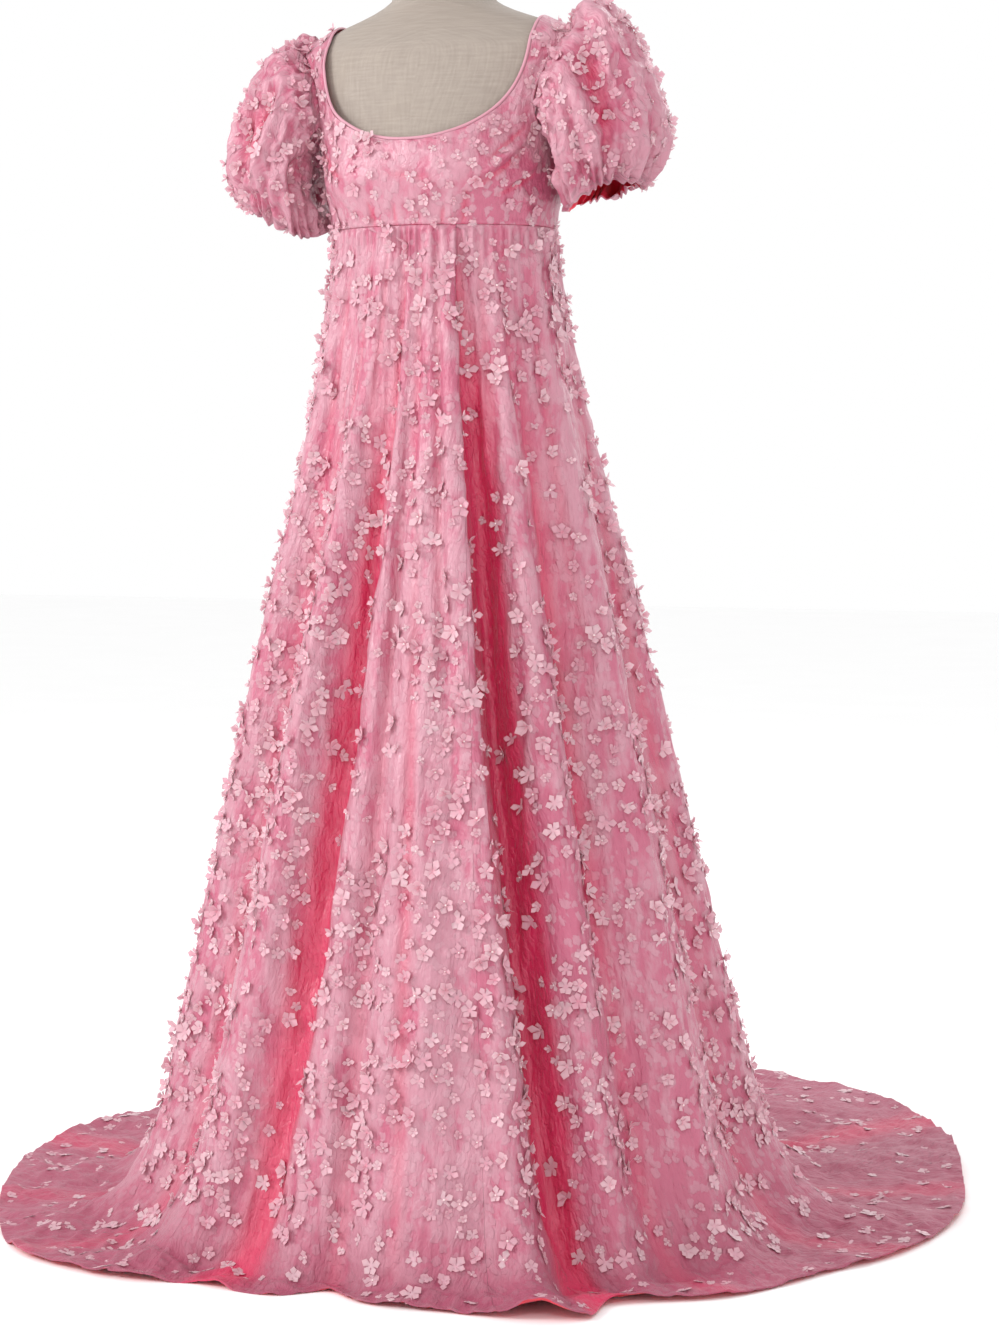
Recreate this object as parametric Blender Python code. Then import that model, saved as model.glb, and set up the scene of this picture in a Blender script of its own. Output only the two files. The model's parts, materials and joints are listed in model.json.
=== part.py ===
# An empire-line maxi dress with a rounded train, on a dress form with a plain round stand.
#
# The dress is a set of cloth walls, one for each cut piece, 2 mm thick and 0.3 mm apart at the
# seams. Every wall follows a smooth surface that is worked out from the sizes below. Small
# five-sided cups on its outer face stand for the sewn-on cloth flowers.
#
# Metres, +Z up. The origin is the middle of the stand's underside, on the floor. The front of
# the dress faces -Y, and the wearer's left is +X. Angles round the dress start at the front and
# run towards +X.

import math

import bmesh
import bpy
import numpy as np

# Cloth and seams
CLOTH = 0.002            # thickness of the cloth wall
SEAM_GAP = 0.0003        # space between two pieces that are sewn together
EASE = 0.0030            # space between the form and the inside of the bodice

# Heights of the main lines
WAIST_Z = 1.180
UNDERARM_Z = 1.270
ARMHOLE_TOP_Z = 1.405
NECK_FRONT_Z = 1.275
NECK_BACK_Z = 1.330
NECK_SHOULDER_Z = 1.420
NECK_HALF_WIDTH = 0.130

# The form: half width, depth in front of the axis and depth behind it, at each height
FORM_SECTIONS = (
    # height, half_width, front, back
    (0.800, 0.148, 0.098, 0.108),
    (0.860, 0.152, 0.102, 0.114),
    (0.940, 0.142, 0.096, 0.104),
    (1.030, 0.124, 0.088, 0.090),
    (1.100, 0.124, 0.090, 0.088),
    (1.180, 0.132, 0.098, 0.094),
    (1.250, 0.142, 0.112, 0.100),
    (1.310, 0.152, 0.100, 0.100),
    (1.360, 0.168, 0.082, 0.090),
    (1.390, 0.174, 0.070, 0.078),
    (1.405, 0.158, 0.062, 0.068),
    (1.420, 0.130, 0.058, 0.062),
    (1.435, 0.088, 0.057, 0.060),
    (1.450, 0.062, 0.057, 0.058),
    (1.480, 0.056, 0.055, 0.056),
    (1.520, 0.056, 0.055, 0.056),
)
BUST_Z = 1.235
BUST_SPREAD_Z = 0.036
BUST_ANGLE = 31.0
BUST_SPREAD_ANGLE = 21.0
BUST_RISE = 0.012

# Neck opening and armholes
NECK_SQUARENESS = (2.6, 2.2)      # powers for height and for width: higher is squarer
ARMHOLE_REACH_ANGLE = 33.0        # how far the armhole bites into the panel
STRAP_CROWDING = 2.2              # higher puts more of the rows of points near the shoulder
NECK_GAPE = 0.008                 # how far the neck edge stands off the form on the right side
NECK_GAPE_ANGLE = -38.0
NECK_GAPE_WIDTH = 13.0
NECK_GAPE_SPAN = (1.262, 0.03, 1.400, 0.03)      # heights: start, rise, end, fall
CHEST_CURVE = 1.6                 # higher lets the chest line drop to the neck later
FRONT_ROWS = (4, 11)              # rows of points under and over the chest line
BACK_ROWS = (5, 11)
BODICE_COLUMNS = 10               # columns of points over half of a panel
BINDING_HALF_WIDTH = 0.0022
BINDING_HALF_HEIGHT = 0.0014

# Puffed sleeve: where its lower edge is, and how the cloth leaves the head and the lower edge
SLEEVE_HEM_CENTRE = (0.200, 0.0, 1.211)
SLEEVE_HEM_RAISED = 0.010         # the left lower edge is this much higher, the right lower
SLEEVE_HEM_HALF_X = 0.043
SLEEVE_HEM_HALF_Y = 0.055
SLEEVE_HEM_TILT = 0.010
SLEEVE_PUFF_Y = (0.040, 0.061)
SLEEVE_SHAPE = (
    # place, head_out, head_up, hem_out, hem_up
    ("top", 0.028, 0.088, 0.082, 0.060),
    ("front", 0.033, 0.0225, 0.007, 0.035),
    ("under", 0.017, -0.010, 0.012, 0.030),
)
SLEEVE_HEAD_RAISED = 0.028        # the left head stands this much higher, the right lower
SLEEVE_GATHERS = 11
SLEEVE_HEAD_RIPPLE = 0.0032
SLEEVE_HEM_RIPPLE = 0.0042
SLEEVE_RIPPLES_AT = (0.14, 0.88)  # along the sleeve, 0 at the head and 1 at the lower edge
SLEEVE_RIPPLE_REACH = 0.16
SLEEVE_RIPPLE_SPAN = (0.04, 0.14, 1.04, 0.10)    # start, rise, end, fall
SLEEVE_RIPPLE_LEAST = 0.35        # weakest ripple round the sleeve against the strongest
SLEEVE_RIPPLE_PHASE = 1.2
SLEEVE_RIPPLE_UNEVEN = 0.6
SLEEVE_FOLD_DEPTH = 0.011
SLEEVE_FOLD_ANGLE = 62.0
SLEEVE_FOLD_WIDTH = 13.0
SLEEVE_FOLD_SPAN = (0.25, 0.20, 0.98, 0.15)      # start, rise, end, fall
SLEEVE_SEAT = 0.0016              # how far the sleeve's head is set inside the armhole
SLEEVE_COLUMNS = 44
SLEEVE_ROWS = 7

# Skirt: its flare under the waist seam and the outline of its hem on the floor
SKIRT_WAIST = (0.1378, 0.1045, 0.0995)      # half width, front, back
FLARE_START = 0.14                          # how far down the skirt takes to open out
SKIRT_OUTLINE = (
    # angle, flare, hem_radius
    (-180, 0.290, 0.930),
    (-160, 0.280, 0.880),
    (-140, 0.262, 0.790),
    (-123, 0.248, 0.715),
    (-103, 0.230, 0.650),
    (-85, 0.218, 0.580),
    (-67, 0.211, 0.540),
    (-48, 0.214, 0.520),
    (-38, 0.218, 0.490),
    (-28, 0.221, 0.455),
    (-19, 0.225, 0.410),
    (-6, 0.228, 0.400),
    (2, 0.228, 0.362),
    (10, 0.228, 0.395),
    (23, 0.230, 0.420),
    (41, 0.230, 0.475),
    (47, 0.230, 0.433),
    (63, 0.232, 0.480),
    (79, 0.236, 0.505),
    (91, 0.242, 0.552),
    (109, 0.248, 0.615),
    (127, 0.254, 0.676),
    (146, 0.272, 0.800),
    (161, 0.282, 0.890),
    (180, 0.290, 0.930),
)
# The long folds: the angle at the waist and at the hem, half the width and the depth.
# A ridge has a positive depth and a valley a negative one.
SKIRT_FOLDS = (
    # waist_angle, hem_angle, half_width, depth
    (17, 17, 11.0, 0.014),
    (5, 2, 4.2, -0.019),
    (-7, -18, 7.0, -0.032),
    (-17, -31, 8.0, 0.020),
    (-38, -48, 6.0, -0.020),
    (-55, -62, 7.5, 0.019),
    (-70, -76, 5.5, -0.018),
    (-86, -90, 7.0, 0.018),
    (-102, -104, 5.5, -0.022),
    (-118, -117, 7.0, 0.016),
    (-131, -131, 5.0, -0.020),
    (-146, -144, 7.0, 0.018),
    (-159, -157, 5.0, -0.022),
    (-171, -170, 6.5, 0.016),
    (176, 177, 4.5, -0.018),
    (162, 163, 7.0, 0.018),
    (148, 149, 5.5, -0.024),
    (134, 135, 6.5, 0.017),
    (121, 121, 5.0, -0.020),
    (107, 106, 7.0, 0.018),
    (93, 92, 5.0, -0.019),
    (79, 74, 6.5, 0.018),
    (64, 63, 5.0, -0.020),
    (50, 53, 5.0, 0.020),
    (35, 45.5, 5.6, -0.048),
    (26, 37.5, 5.0, 0.026),
)
FOLD_START = 0.02           # how far under the waist seam the folds begin
FOLD_FULL = 0.62            # how far down they reach their full depth
FOLD_EARLY_SHARE = 0.12     # share of the depth that they have at the very top
FOLD_EARLY_REACH = 0.05
FOLD_DRIFT = 0.8            # under 1, a fold moves sideways mostly near the top
GATHERS = 26                # small gathers under the waist seam
GATHER_RISE = 0.0016
GATHER_REACH = 0.055
GATHER_START = 0.02
GATHER_UNEVEN = 0.8
GATHER_UNEVEN_WAVES = 3.0
BREAK_REACH = 0.16          # height over which the cloth turns on to the floor
BREAK_REACH_SHARE = 0.22    # and more where more of it lies on the floor
BREAK_SHARE = 0.45          # share of the cloth on the floor that belongs to the turn
FLOOR_WAVE_SHARE = 0.75     # height of a wave on the floor against the fold that runs into it
FLOOR_WAVE_FADE = 0.75      # share of that height that is gone at the hem
HEM_LIFT = 0.015            # the turned-up arch at the front corner of the hem
HEM_LIFT_ANGLE = 36.0
HEM_LIFT_WIDTH = 4.5
HEM_LIFT_CURVE = 1.5
LEAST_FLOOR_RUN = 0.022

# Where the run down the skirt changes from falling to turning to lying, from 0 to 1
FALL_END = 0.70
TURN_END = 0.86
FALL_CROWDING = 1.2         # over 1, the rows of points lie closer under the waist
FALL_ROWS = 10
TURN_ROWS = 4
FLOOR_ROWS = 3

GORES = (
    # name, first_angle, last_angle, columns
    ("skirt_front", -31.0, 30.0, 20),
    ("skirt_side_front_left", 30.0, 80.0, 16),
    ("skirt_side_back_left", 80.0, 130.0, 12),
    ("skirt_back_left", 130.0, 180.0, 12),
    ("skirt_back_right", 180.0, 230.0, 12),
    ("skirt_side_back_right", 230.0, 280.0, 12),
    ("skirt_side_front_right", 280.0, 329.0, 14),
)

# Raised flowers
FLOWER_PETALS = 5
FLOWER_RADIUS = 0.0105
FLOWER_RISE = 0.0052
FLOWER_CUP = 0.0024
FLOWER_PITCH = 0.200        # from one raised flower to the next along a row
FLOWER_FILL = 0.84          # largest share of its patch that a flower may cover
FLOWER_TURN = 31.0          # each flower is turned by this much from the one before

# The form and its stand
FORM_COLUMNS = 24
FORM_RING_HEIGHTS = (0.800, 0.806, 0.860, 0.940, 1.030, 1.100, 1.170, 1.205, 1.240, 1.275, 1.315,
                     1.350, 1.375, 1.390, 1.400, 1.412, 1.424, 1.436, 1.450, 1.515, 1.520)
FORM_END_BEVEL = 0.005
STAND_RADIUS = 0.165
STAND_HEIGHT = 0.012
STAND_BEVEL = 0.003
POLE_RADIUS = 0.014
POLE_FLANGE_RADIUS = 0.045
POLE_FLANGE_HEIGHT = 0.008
POLE_FLANGE_SLOPE = 0.006
ROUND_SEGMENTS = 28

# Materials: colour, roughness, metallic
FINISHES = {
    "satin": ((0.80, 0.33, 0.43), 0.48, 0.0),
    "binding": ((0.82, 0.36, 0.46), 0.42, 0.0),
    "linen": ((0.45, 0.41, 0.34), 0.90, 0.0),
    "steel": ((0.42, 0.42, 0.43), 0.35, 1.0),
}

# Small differences that find a surface's direction: along a height or a run, and round
SMALL_STEP = 0.001
ANGLE_STEP = 0.25
SHARP_ANGLE = 50.0


# Curves and small helpers

def smooth_step(x):
    x = np.clip(x, 0.0, 1.0)
    return x * x * (3.0 - 2.0 * x)


def turn_between(angle, centre):
    """The shortest turn from centre to angle, in degrees."""
    return (angle - centre + 180.0) % 360.0 - 180.0


def hump(distance, width):
    return np.exp(-(distance / width) ** 2)


def between(x, span):
    """Rises from 0 to 1 and falls again, over a span of start, rise, end and fall."""
    start, rise, end, fall = span
    return smooth_step((x - start) / rise) * smooth_step((end - x) / fall)


def read_table(rows, column, at, wrap=None):
    """A smooth curve through one column of a table, by cubic pieces with limited slopes."""
    xs = np.array([row[0] for row in rows], float)
    ys = np.array([row[column] for row in rows], float)
    if wrap is not None:
        xs = np.concatenate([xs[-3:-1] - wrap, xs, xs[1:3] + wrap])
        ys = np.concatenate([ys[-3:-1], ys, ys[1:3]])
    steps = np.diff(xs)
    slopes = np.diff(ys) / steps
    tangents = np.zeros_like(ys)
    same_way = slopes[:-1] * slopes[1:] > 0
    mean = 2.0 * slopes[:-1] * slopes[1:] / np.where(same_way, slopes[:-1] + slopes[1:], 1.0)
    tangents[1:-1] = np.where(same_way, mean, 0.0)
    at = np.clip(at, xs[0], xs[-1])
    i = np.clip(np.searchsorted(xs, at, side="right") - 1, 0, len(steps) - 1)
    u = (at - xs[i]) / steps[i]
    start = ys[i] * (1 + 2 * u) * (1 - u) ** 2 + tangents[i] * steps[i] * u * (1 - u) ** 2
    end = ys[i + 1] * u * u * (3 - 2 * u) + tangents[i + 1] * steps[i] * u * u * (u - 1)
    return start + end


def unit(vectors):
    return vectors / np.maximum(np.linalg.norm(vectors, axis=-1, keepdims=True), 1e-12)


def normals_of(surface, angle, run):
    """Unit normals of a surface of an angle and a run, by small differences."""
    across = surface(angle + ANGLE_STEP, run) - surface(angle - ANGLE_STEP, run)
    down = surface(angle, run + SMALL_STEP) - surface(angle, run - SMALL_STEP)
    return unit(np.cross(down, across))


# Surfaces of the form and the bodice

def body_point(angle, z):
    """Point on the form. The angle is the ellipse's own, 90 degrees at the sides."""
    width = read_table(FORM_SECTIONS, 1, z)
    front = read_table(FORM_SECTIONS, 2, z)
    back = read_table(FORM_SECTIONS, 3, z)
    sine = np.sin(np.radians(angle))
    cosine = np.cos(np.radians(angle))
    depth = np.where(cosine > 0, front, back)
    bust = hump(turn_between(angle, BUST_ANGLE), BUST_SPREAD_ANGLE)
    bust = bust + hump(turn_between(angle, -BUST_ANGLE), BUST_SPREAD_ANGLE)
    rise = BUST_RISE * bust * hump(z - BUST_Z, BUST_SPREAD_Z)
    x = (width + rise) * sine
    y = -(depth + rise) * cosine
    return np.stack([x, y, z + 0.0 * x], axis=-1)


def body_normal(angle, z):
    return -normals_of(body_point, angle, z)


def worn_point(angle, z, height):
    """Point at a height over the form, with the neck edge standing off on the right side."""
    gape = hump(turn_between(angle, NECK_GAPE_ANGLE), NECK_GAPE_WIDTH) * between(z, NECK_GAPE_SPAN)
    lift = height + NECK_GAPE * gape
    return body_point(angle, z) + body_normal(angle, z) * np.asarray(lift)[..., None]


def neck_line(s, side, bottom_z):
    """The scoop from the middle (s 0) to the shoulder (s 1), as angle and height."""
    turn = s * math.pi / 2.0
    drop = 1.0 - np.cos(turn) ** (2.0 / NECK_SQUARENESS[0])
    across = NECK_HALF_WIDTH * np.sin(turn) ** (2.0 / NECK_SQUARENESS[1])
    z = bottom_z + (NECK_SHOULDER_Z - bottom_z) * drop
    width = read_table(FORM_SECTIONS, 1, z)
    angle = np.degrees(np.arcsin(np.clip(across / width, -1.0, 1.0)))
    return side * angle, z


def armhole_line(s, side):
    """Half of the armhole from the underarm (s 0) to the shoulder (s 1)."""
    turn = s * math.pi
    angle = 90.0 - ARMHOLE_REACH_ANGLE * np.sin(turn)
    z = UNDERARM_Z + (ARMHOLE_TOP_Z - UNDERARM_Z) * (1.0 - np.cos(turn)) / 2.0
    return side * angle, z


# Surfaces of the skirt

def waist_radius(angle):
    sine = np.sin(np.radians(angle))
    cosine = np.cos(np.radians(angle))
    depth = np.where(cosine > 0, SKIRT_WAIST[1], SKIRT_WAIST[2])
    return 1.0 / np.sqrt((sine / SKIRT_WAIST[0]) ** 2 + (cosine / depth) ** 2)


def fold_sum(angle, drop):
    """Depth of all the long folds at an angle and a drop under the waist seam."""
    share = np.clip(drop / WAIST_Z, 0.0, 1.0) ** FOLD_DRIFT
    total = 0.0
    for waist_angle, hem_angle, half_width, depth in SKIRT_FOLDS:
        centre = waist_angle + (hem_angle - waist_angle) * share
        total = total + depth * hump(turn_between(angle, centre), half_width)
    early = smooth_step(drop / FOLD_EARLY_REACH)
    grown = smooth_step((drop - FOLD_START) / (FOLD_FULL - FOLD_START))
    return total * (FOLD_EARLY_SHARE * early + (1.0 - FOLD_EARLY_SHARE) * grown)


def gathers(angle, drop):
    uneven = GATHER_UNEVEN * np.sin(np.radians(GATHER_UNEVEN_WAVES * angle))
    wave = np.cos(np.radians(GATHERS * angle) + uneven)
    return GATHER_RISE * wave * np.exp(-drop / GATHER_REACH) * smooth_step(drop / GATHER_START)


def skirt_point(angle, run):
    """Outer surface of the skirt: run goes from 0 at the waist seam to 1 at the hem."""
    wrapped = (angle + 180.0) % 360.0 - 180.0
    flare = read_table(SKIRT_OUTLINE, 1, wrapped, wrap=360.0)
    hem = read_table(SKIRT_OUTLINE, 2, wrapped, wrap=360.0)
    start = waist_radius(angle)

    def falling_radius(drop):
        opened = drop * drop / (drop + FLARE_START)
        return start + flare * opened + fold_sum(angle, drop) + gathers(angle, drop)

    foot = np.minimum(falling_radius(WAIST_Z), hem - LEAST_FLOOR_RUN)
    floor_run = hem - foot
    reach = BREAK_REACH + BREAK_REACH_SHARE * floor_run
    fall = WAIST_Z - reach
    turn_out = BREAK_SHARE * floor_run

    down = np.clip(run / FALL_END, 0.0, 1.0) ** FALL_CROWDING
    turning = np.clip((run - FALL_END) / (TURN_END - FALL_END), 0.0, 1.0)
    lying = np.clip((run - TURN_END) / (1.0 - TURN_END), 0.0, 1.0)

    drop = fall * down
    turned = ((1 - turning) ** 2 * falling_radius(fall) + 2 * turning * (1 - turning) * foot
              + turning ** 2 * (foot + turn_out))
    radius = np.where(run > FALL_END, turned, falling_radius(drop))
    radius = radius + lying * (floor_run - turn_out)
    height = (WAIST_Z - drop) * (run <= FALL_END) + reach * (1 - turning) ** 2 * (run > FALL_END)

    wave = np.maximum(fold_sum(angle, WAIST_Z + 0.0 * angle), 0.0) * FLOOR_WAVE_SHARE
    on_floor = smooth_step(turning) * (1.0 - FLOOR_WAVE_FADE * smooth_step(lying))
    lift = HEM_LIFT * hump(turn_between(angle, HEM_LIFT_ANGLE), HEM_LIFT_WIDTH)
    height = height + wave * on_floor + lift * lying ** HEM_LIFT_CURVE + CLOTH * smooth_step(turning)

    x = radius * np.sin(np.radians(angle))
    y = -radius * np.cos(np.radians(angle))
    return np.stack([x, y, height], axis=-1)


# Surface of a sleeve

def round_fit(top, front, under, turn):
    """A smooth value round the arm that takes the three given values at top, front and under."""
    once = (top - under) / 2.0
    mean = ((top + under) / 2.0 + front) / 2.0
    twice = (top + under) / 2.0 - mean
    return mean + once * np.cos(turn) + twice * np.cos(2.0 * turn)


def sleeve_point(angle, run, side):
    """Outer surface of a sleeve. Angle 0 is the top, 90 the front and 180 the underarm."""
    turn = np.radians(angle)
    wrapped = angle % 360.0
    front_half = wrapped <= 180.0
    s = np.where(front_half, 1.0 - wrapped / 180.0, (wrapped - 180.0) / 180.0)
    hole_angle, hole_z = armhole_line(s, 1.0)
    hole_angle = np.where(front_half, hole_angle, 180.0 - hole_angle)
    edge = worn_point(side * hole_angle, hole_z, EASE + 0.5 * CLOTH)
    edge[..., 0] = np.abs(edge[..., 0])
    inward = np.array([0.0, 0.0, (UNDERARM_Z + ARMHOLE_TOP_Z) / 2.0]) - edge
    inward[..., 0] = 0.0
    head = edge + unit(inward) * SLEEVE_SEAT + np.array([SEAM_GAP, 0.0, 0.0])

    rows = {row[0]: row[1:] for row in SLEEVE_SHAPE}
    fitted = [round_fit(rows["top"][i], rows["front"][i], rows["under"][i], turn) for i in range(4)]
    head_out, head_up, hem_out, hem_up = fitted
    head_up = head_up + side * SLEEVE_HEAD_RAISED * (0.5 + 0.5 * np.cos(turn))
    zero = 0.0 * turn
    hem = np.stack([
        SLEEVE_HEM_CENTRE[0] + SLEEVE_HEM_HALF_X * np.cos(turn),
        SLEEVE_HEM_CENTRE[1] - SLEEVE_HEM_HALF_Y * np.sin(turn),
        SLEEVE_HEM_CENTRE[2] + side * SLEEVE_HEM_RAISED + SLEEVE_HEM_TILT * np.cos(turn),
    ], axis=-1)
    lead_out = head + np.stack([head_out, -SLEEVE_PUFF_Y[0] * np.sin(turn), head_up], axis=-1)
    lead_in = hem + np.stack([hem_out, -SLEEVE_PUFF_Y[1] * np.sin(turn), hem_up + zero], axis=-1)
    t = np.asarray(run)[..., None]
    point = ((1 - t) ** 3 * head + 3 * t * (1 - t) ** 2 * lead_out
             + 3 * t * t * (1 - t) * lead_in + t ** 3 * hem)
    point[..., 0] = point[..., 0] * side
    return point


def sleeve_relief(angle, run, side):
    """Gathers at the head and the lower edge, and one deep fold on each sleeve."""
    turn = np.radians(angle)
    wave = np.cos(SLEEVE_GATHERS * turn + SLEEVE_RIPPLE_UNEVEN * np.sin(2.0 * turn + side))
    head = SLEEVE_HEAD_RIPPLE * hump(run - SLEEVE_RIPPLES_AT[0], SLEEVE_RIPPLE_REACH)
    hem = SLEEVE_HEM_RIPPLE * hump(run - SLEEVE_RIPPLES_AT[1], SLEEVE_RIPPLE_REACH)
    strength = np.abs(np.sin(turn / 2.0 + SLEEVE_RIPPLE_PHASE))
    strength = SLEEVE_RIPPLE_LEAST + (1.0 - SLEEVE_RIPPLE_LEAST) * strength
    ripples = wave * strength * (head + hem) * between(run, SLEEVE_RIPPLE_SPAN)
    fold = SLEEVE_FOLD_DEPTH * hump(turn_between(angle, SLEEVE_FOLD_ANGLE), SLEEVE_FOLD_WIDTH)
    return ripples - fold * between(run, SLEEVE_FOLD_SPAN)


# Building walls

class Sheet:
    """Points and faces of one wall: an outer skin with relief, and a plain inner skin."""

    def __init__(self):
        self.outer = []
        self.inner = []
        self.extra = []
        self.cells = []
        self.raised = {}

    def add_points(self, outer, inner):
        first = len(self.outer)
        self.outer.extend(outer.reshape(-1, 3).tolist())
        self.inner.extend(inner.reshape(-1, 3).tolist())
        return first + np.arange(outer.shape[0] * outer.shape[1]).reshape(outer.shape[:2])

    def add_cells(self, grid, closed=False):
        rows, columns = grid.shape
        last = columns if closed else columns - 1
        for i in range(rows - 1):
            for j in range(last):
                k = (j + 1) % columns
                self.cells.append((grid[i, j], grid[i, k], grid[i + 1, k], grid[i + 1, j]))

    def add_flower(self, cells, corners, corner_bearings, ring, ring_bearings, middle):
        """Replace some cells by a patch whose corners run round a raised ring."""
        first = len(self.extra)
        self.extra.extend(ring)
        self.extra.append(middle)
        for cell in cells:
            self.raised[cell] = None
        self.raised[cells[0]] = (corners, corner_bearings, first, ring_bearings)

    def build(self, name, finish):
        count = len(self.outer)
        verts = self.outer + self.inner + self.extra
        faces = []
        edges = {}
        for cell in self.cells:
            if cell not in self.raised:
                faces.append(cell)
            elif self.raised[cell] is not None:
                faces.extend(flower_faces(2 * count, *self.raised[cell]))
            faces.append(tuple(v + count for v in reversed(cell)))
            for a, b in zip(cell, cell[1:] + cell[:1]):
                if (b, a) in edges:
                    del edges[(b, a)]
                else:
                    edges[(a, b)] = True
        for a, b in edges:
            if verts[a][2] >= verts[b][2]:
                faces.extend([(b, a, b + count), (a, a + count, b + count)])
            else:
                faces.extend([(b, a, a + count), (b, a + count, b + count)])
        return new_object(name, verts, faces, finish)


def flower_faces(offset, corners, corner_bearings, first, ring_bearings):
    """Triangles between a patch's corners and its ring, and from the ring to its middle.

    Both loops are given in order of their bearing from the middle.
    """
    petals = len(ring_bearings)
    ring = [offset + first + k for k in range(petals)]
    middle = offset + first + petals
    faces = []
    i = 0
    j = 0
    while i < len(corners) or j < petals:
        corner_is_next = j == petals or (i < len(corners) and corner_bearings[i] <= ring_bearings[j])
        if corner_is_next:
            faces.append((corners[i - 1], corners[i], ring[j - 1]))
            i += 1
        else:
            faces.append((corners[i - 1], ring[j], ring[j - 1]))
            j += 1
    for k in range(petals):
        faces.append((ring[k - 1], ring[k], middle))
    return faces


def new_object(name, verts, faces, finish):
    mesh = bpy.data.meshes.new(name)
    mesh.from_pydata([tuple(v) for v in verts], [], [tuple(int(i) for i in f) for f in faces])
    mesh.validate()
    shape = bmesh.new()
    shape.from_mesh(mesh)
    bmesh.ops.recalc_face_normals(shape, faces=shape.faces)
    shape.to_mesh(mesh)
    shape.free()
    mesh.materials.append(material(finish))
    mesh.shade_smooth()
    mesh.set_sharp_from_angle(angle=math.radians(SHARP_ANGLE))
    thing = bpy.data.objects.new(name, mesh)
    bpy.context.scene.collection.objects.link(thing)
    return thing


def material(finish):
    found = bpy.data.materials.get(finish)
    if found:
        return found
    colour, roughness, metallic = FINISHES[finish]
    made = bpy.data.materials.new(finish)
    made.use_nodes = True
    shader = made.node_tree.nodes["Principled BSDF"]
    shader.inputs["Base Color"].default_value = (*colour, 1.0)
    shader.inputs["Roughness"].default_value = roughness
    shader.inputs["Metallic"].default_value = metallic
    made.diffuse_color = (*colour, 1.0)
    return made


# The pieces

def bodice_half(side, facing, bottom_z, bottom_rows, top_rows):
    """Half a panel: rows from the waist to the chest line, then rows up to the shoulder."""
    across = np.linspace(0.0, 1.0, BODICE_COLUMNS + 1)
    low = WAIST_Z + SEAM_GAP / 2.0
    bow = ((1.0 + np.cos(np.pi * across)) / 2.0) ** CHEST_CURVE
    chest = UNDERARM_Z + (bottom_z - UNDERARM_Z) * bow
    rows = []
    for share in np.linspace(0.0, 1.0, bottom_rows + 1):
        rows.append((90.0 * across, low + (chest - low) * share))
    for k in range(1, top_rows + 1):
        hole_share = np.array(k / top_rows)
        neck_share = 1.0 - (1.0 - hole_share) ** STRAP_CROWDING
        neck_angle, neck_z = neck_line(neck_share, 1.0, bottom_z)
        hole_angle, hole_z = armhole_line(hole_share, 1.0)
        rows.append((neck_angle + (hole_angle - neck_angle) * across,
                     neck_z + (hole_z - neck_z) * across))
    angle = np.array([row[0] for row in rows])
    z = np.array([row[1] for row in rows])
    if facing > 0:
        angle = 180.0 - angle
    angle = side * angle
    outer = worn_point(angle, z, EASE + CLOTH)
    inner = worn_point(angle, z, EASE)
    for skin in (outer, inner):
        skin[0, :, 2] = low
        if facing < 0:
            skin[..., 1] = np.minimum(skin[..., 1], -SEAM_GAP / 2.0)
        else:
            skin[..., 1] = np.maximum(skin[..., 1], SEAM_GAP / 2.0)
    return outer, inner


def make_bodice(name, facing, bottom_z, bottom_rows, top_rows):
    sheet = Sheet()
    left = bodice_half(1.0, facing, bottom_z, bottom_rows, top_rows)
    right = bodice_half(-1.0, facing, bottom_z, bottom_rows, top_rows)
    left_grid = sheet.add_points(*left)
    right_grid = sheet.add_points(right[0][:, 1:], right[1][:, 1:])
    middle = left_grid[: bottom_rows + 1, :1]
    low_right = np.concatenate([middle, right_grid[: bottom_rows + 1]], axis=1)
    sheet.add_cells(left_grid[: bottom_rows + 1])
    sheet.add_cells(low_right[:, ::-1])
    sheet.add_cells(left_grid[bottom_rows:])
    neck_right = sheet.add_points(right[0][bottom_rows + 1:, :1], right[1][bottom_rows + 1:, :1])
    top_right = np.concatenate([
        np.concatenate([middle[-1:], neck_right], axis=0),
        right_grid[bottom_rows:],
    ], axis=1)
    sheet.add_cells(top_right[:, ::-1])
    return sheet.build(name, "satin")


def make_neck_binding():
    """A thin flat tube that lies against the neck edge all the way round."""
    places = []
    for facing, bottom_z, rows in ((-1, NECK_FRONT_Z, FRONT_ROWS[1]), (1, NECK_BACK_Z, BACK_ROWS[1])):
        s = 1.0 - (1.0 - np.linspace(0.0, 1.0, rows + 1)) ** STRAP_CROWDING
        angle, z = neck_line(s, 1.0, bottom_z)
        if facing > 0:
            angle = 180.0 - angle
        places.append((angle, z))
    front, back = places
    angle = np.concatenate([front[0], back[0][::-1][1:], -back[0][1:], -front[0][::-1][1:-1]])
    z = np.concatenate([front[1], back[1][::-1][1:], back[1][1:], front[1][::-1][1:-1]])
    level = EASE + CLOTH / 2.0
    line = worn_point(angle, z, level)
    normal = body_normal(angle, z)
    along = unit(np.roll(line, -1, axis=0) - np.roll(line, 1, axis=0))
    to_neck = unit(np.cross(normal, along))
    up = np.cross(along, to_neck)
    centre = line + to_neck * (BINDING_HALF_WIDTH + SEAM_GAP * 1.5)
    corners = ((-1, -1), (-1, 1), (1, 1), (1, -1))
    verts = []
    for a, b in corners:
        verts.extend((centre + to_neck * a * BINDING_HALF_WIDTH
                      + up * b * BINDING_HALF_HEIGHT).tolist())
    count = len(centre)
    faces = []
    for side in range(4):
        other = (side + 1) % 4
        for k in range(count):
            m = (k + 1) % count
            faces.append((side * count + k, side * count + m, other * count + m, other * count + k))
    return new_object("neck_binding", verts, faces, "binding")


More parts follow.
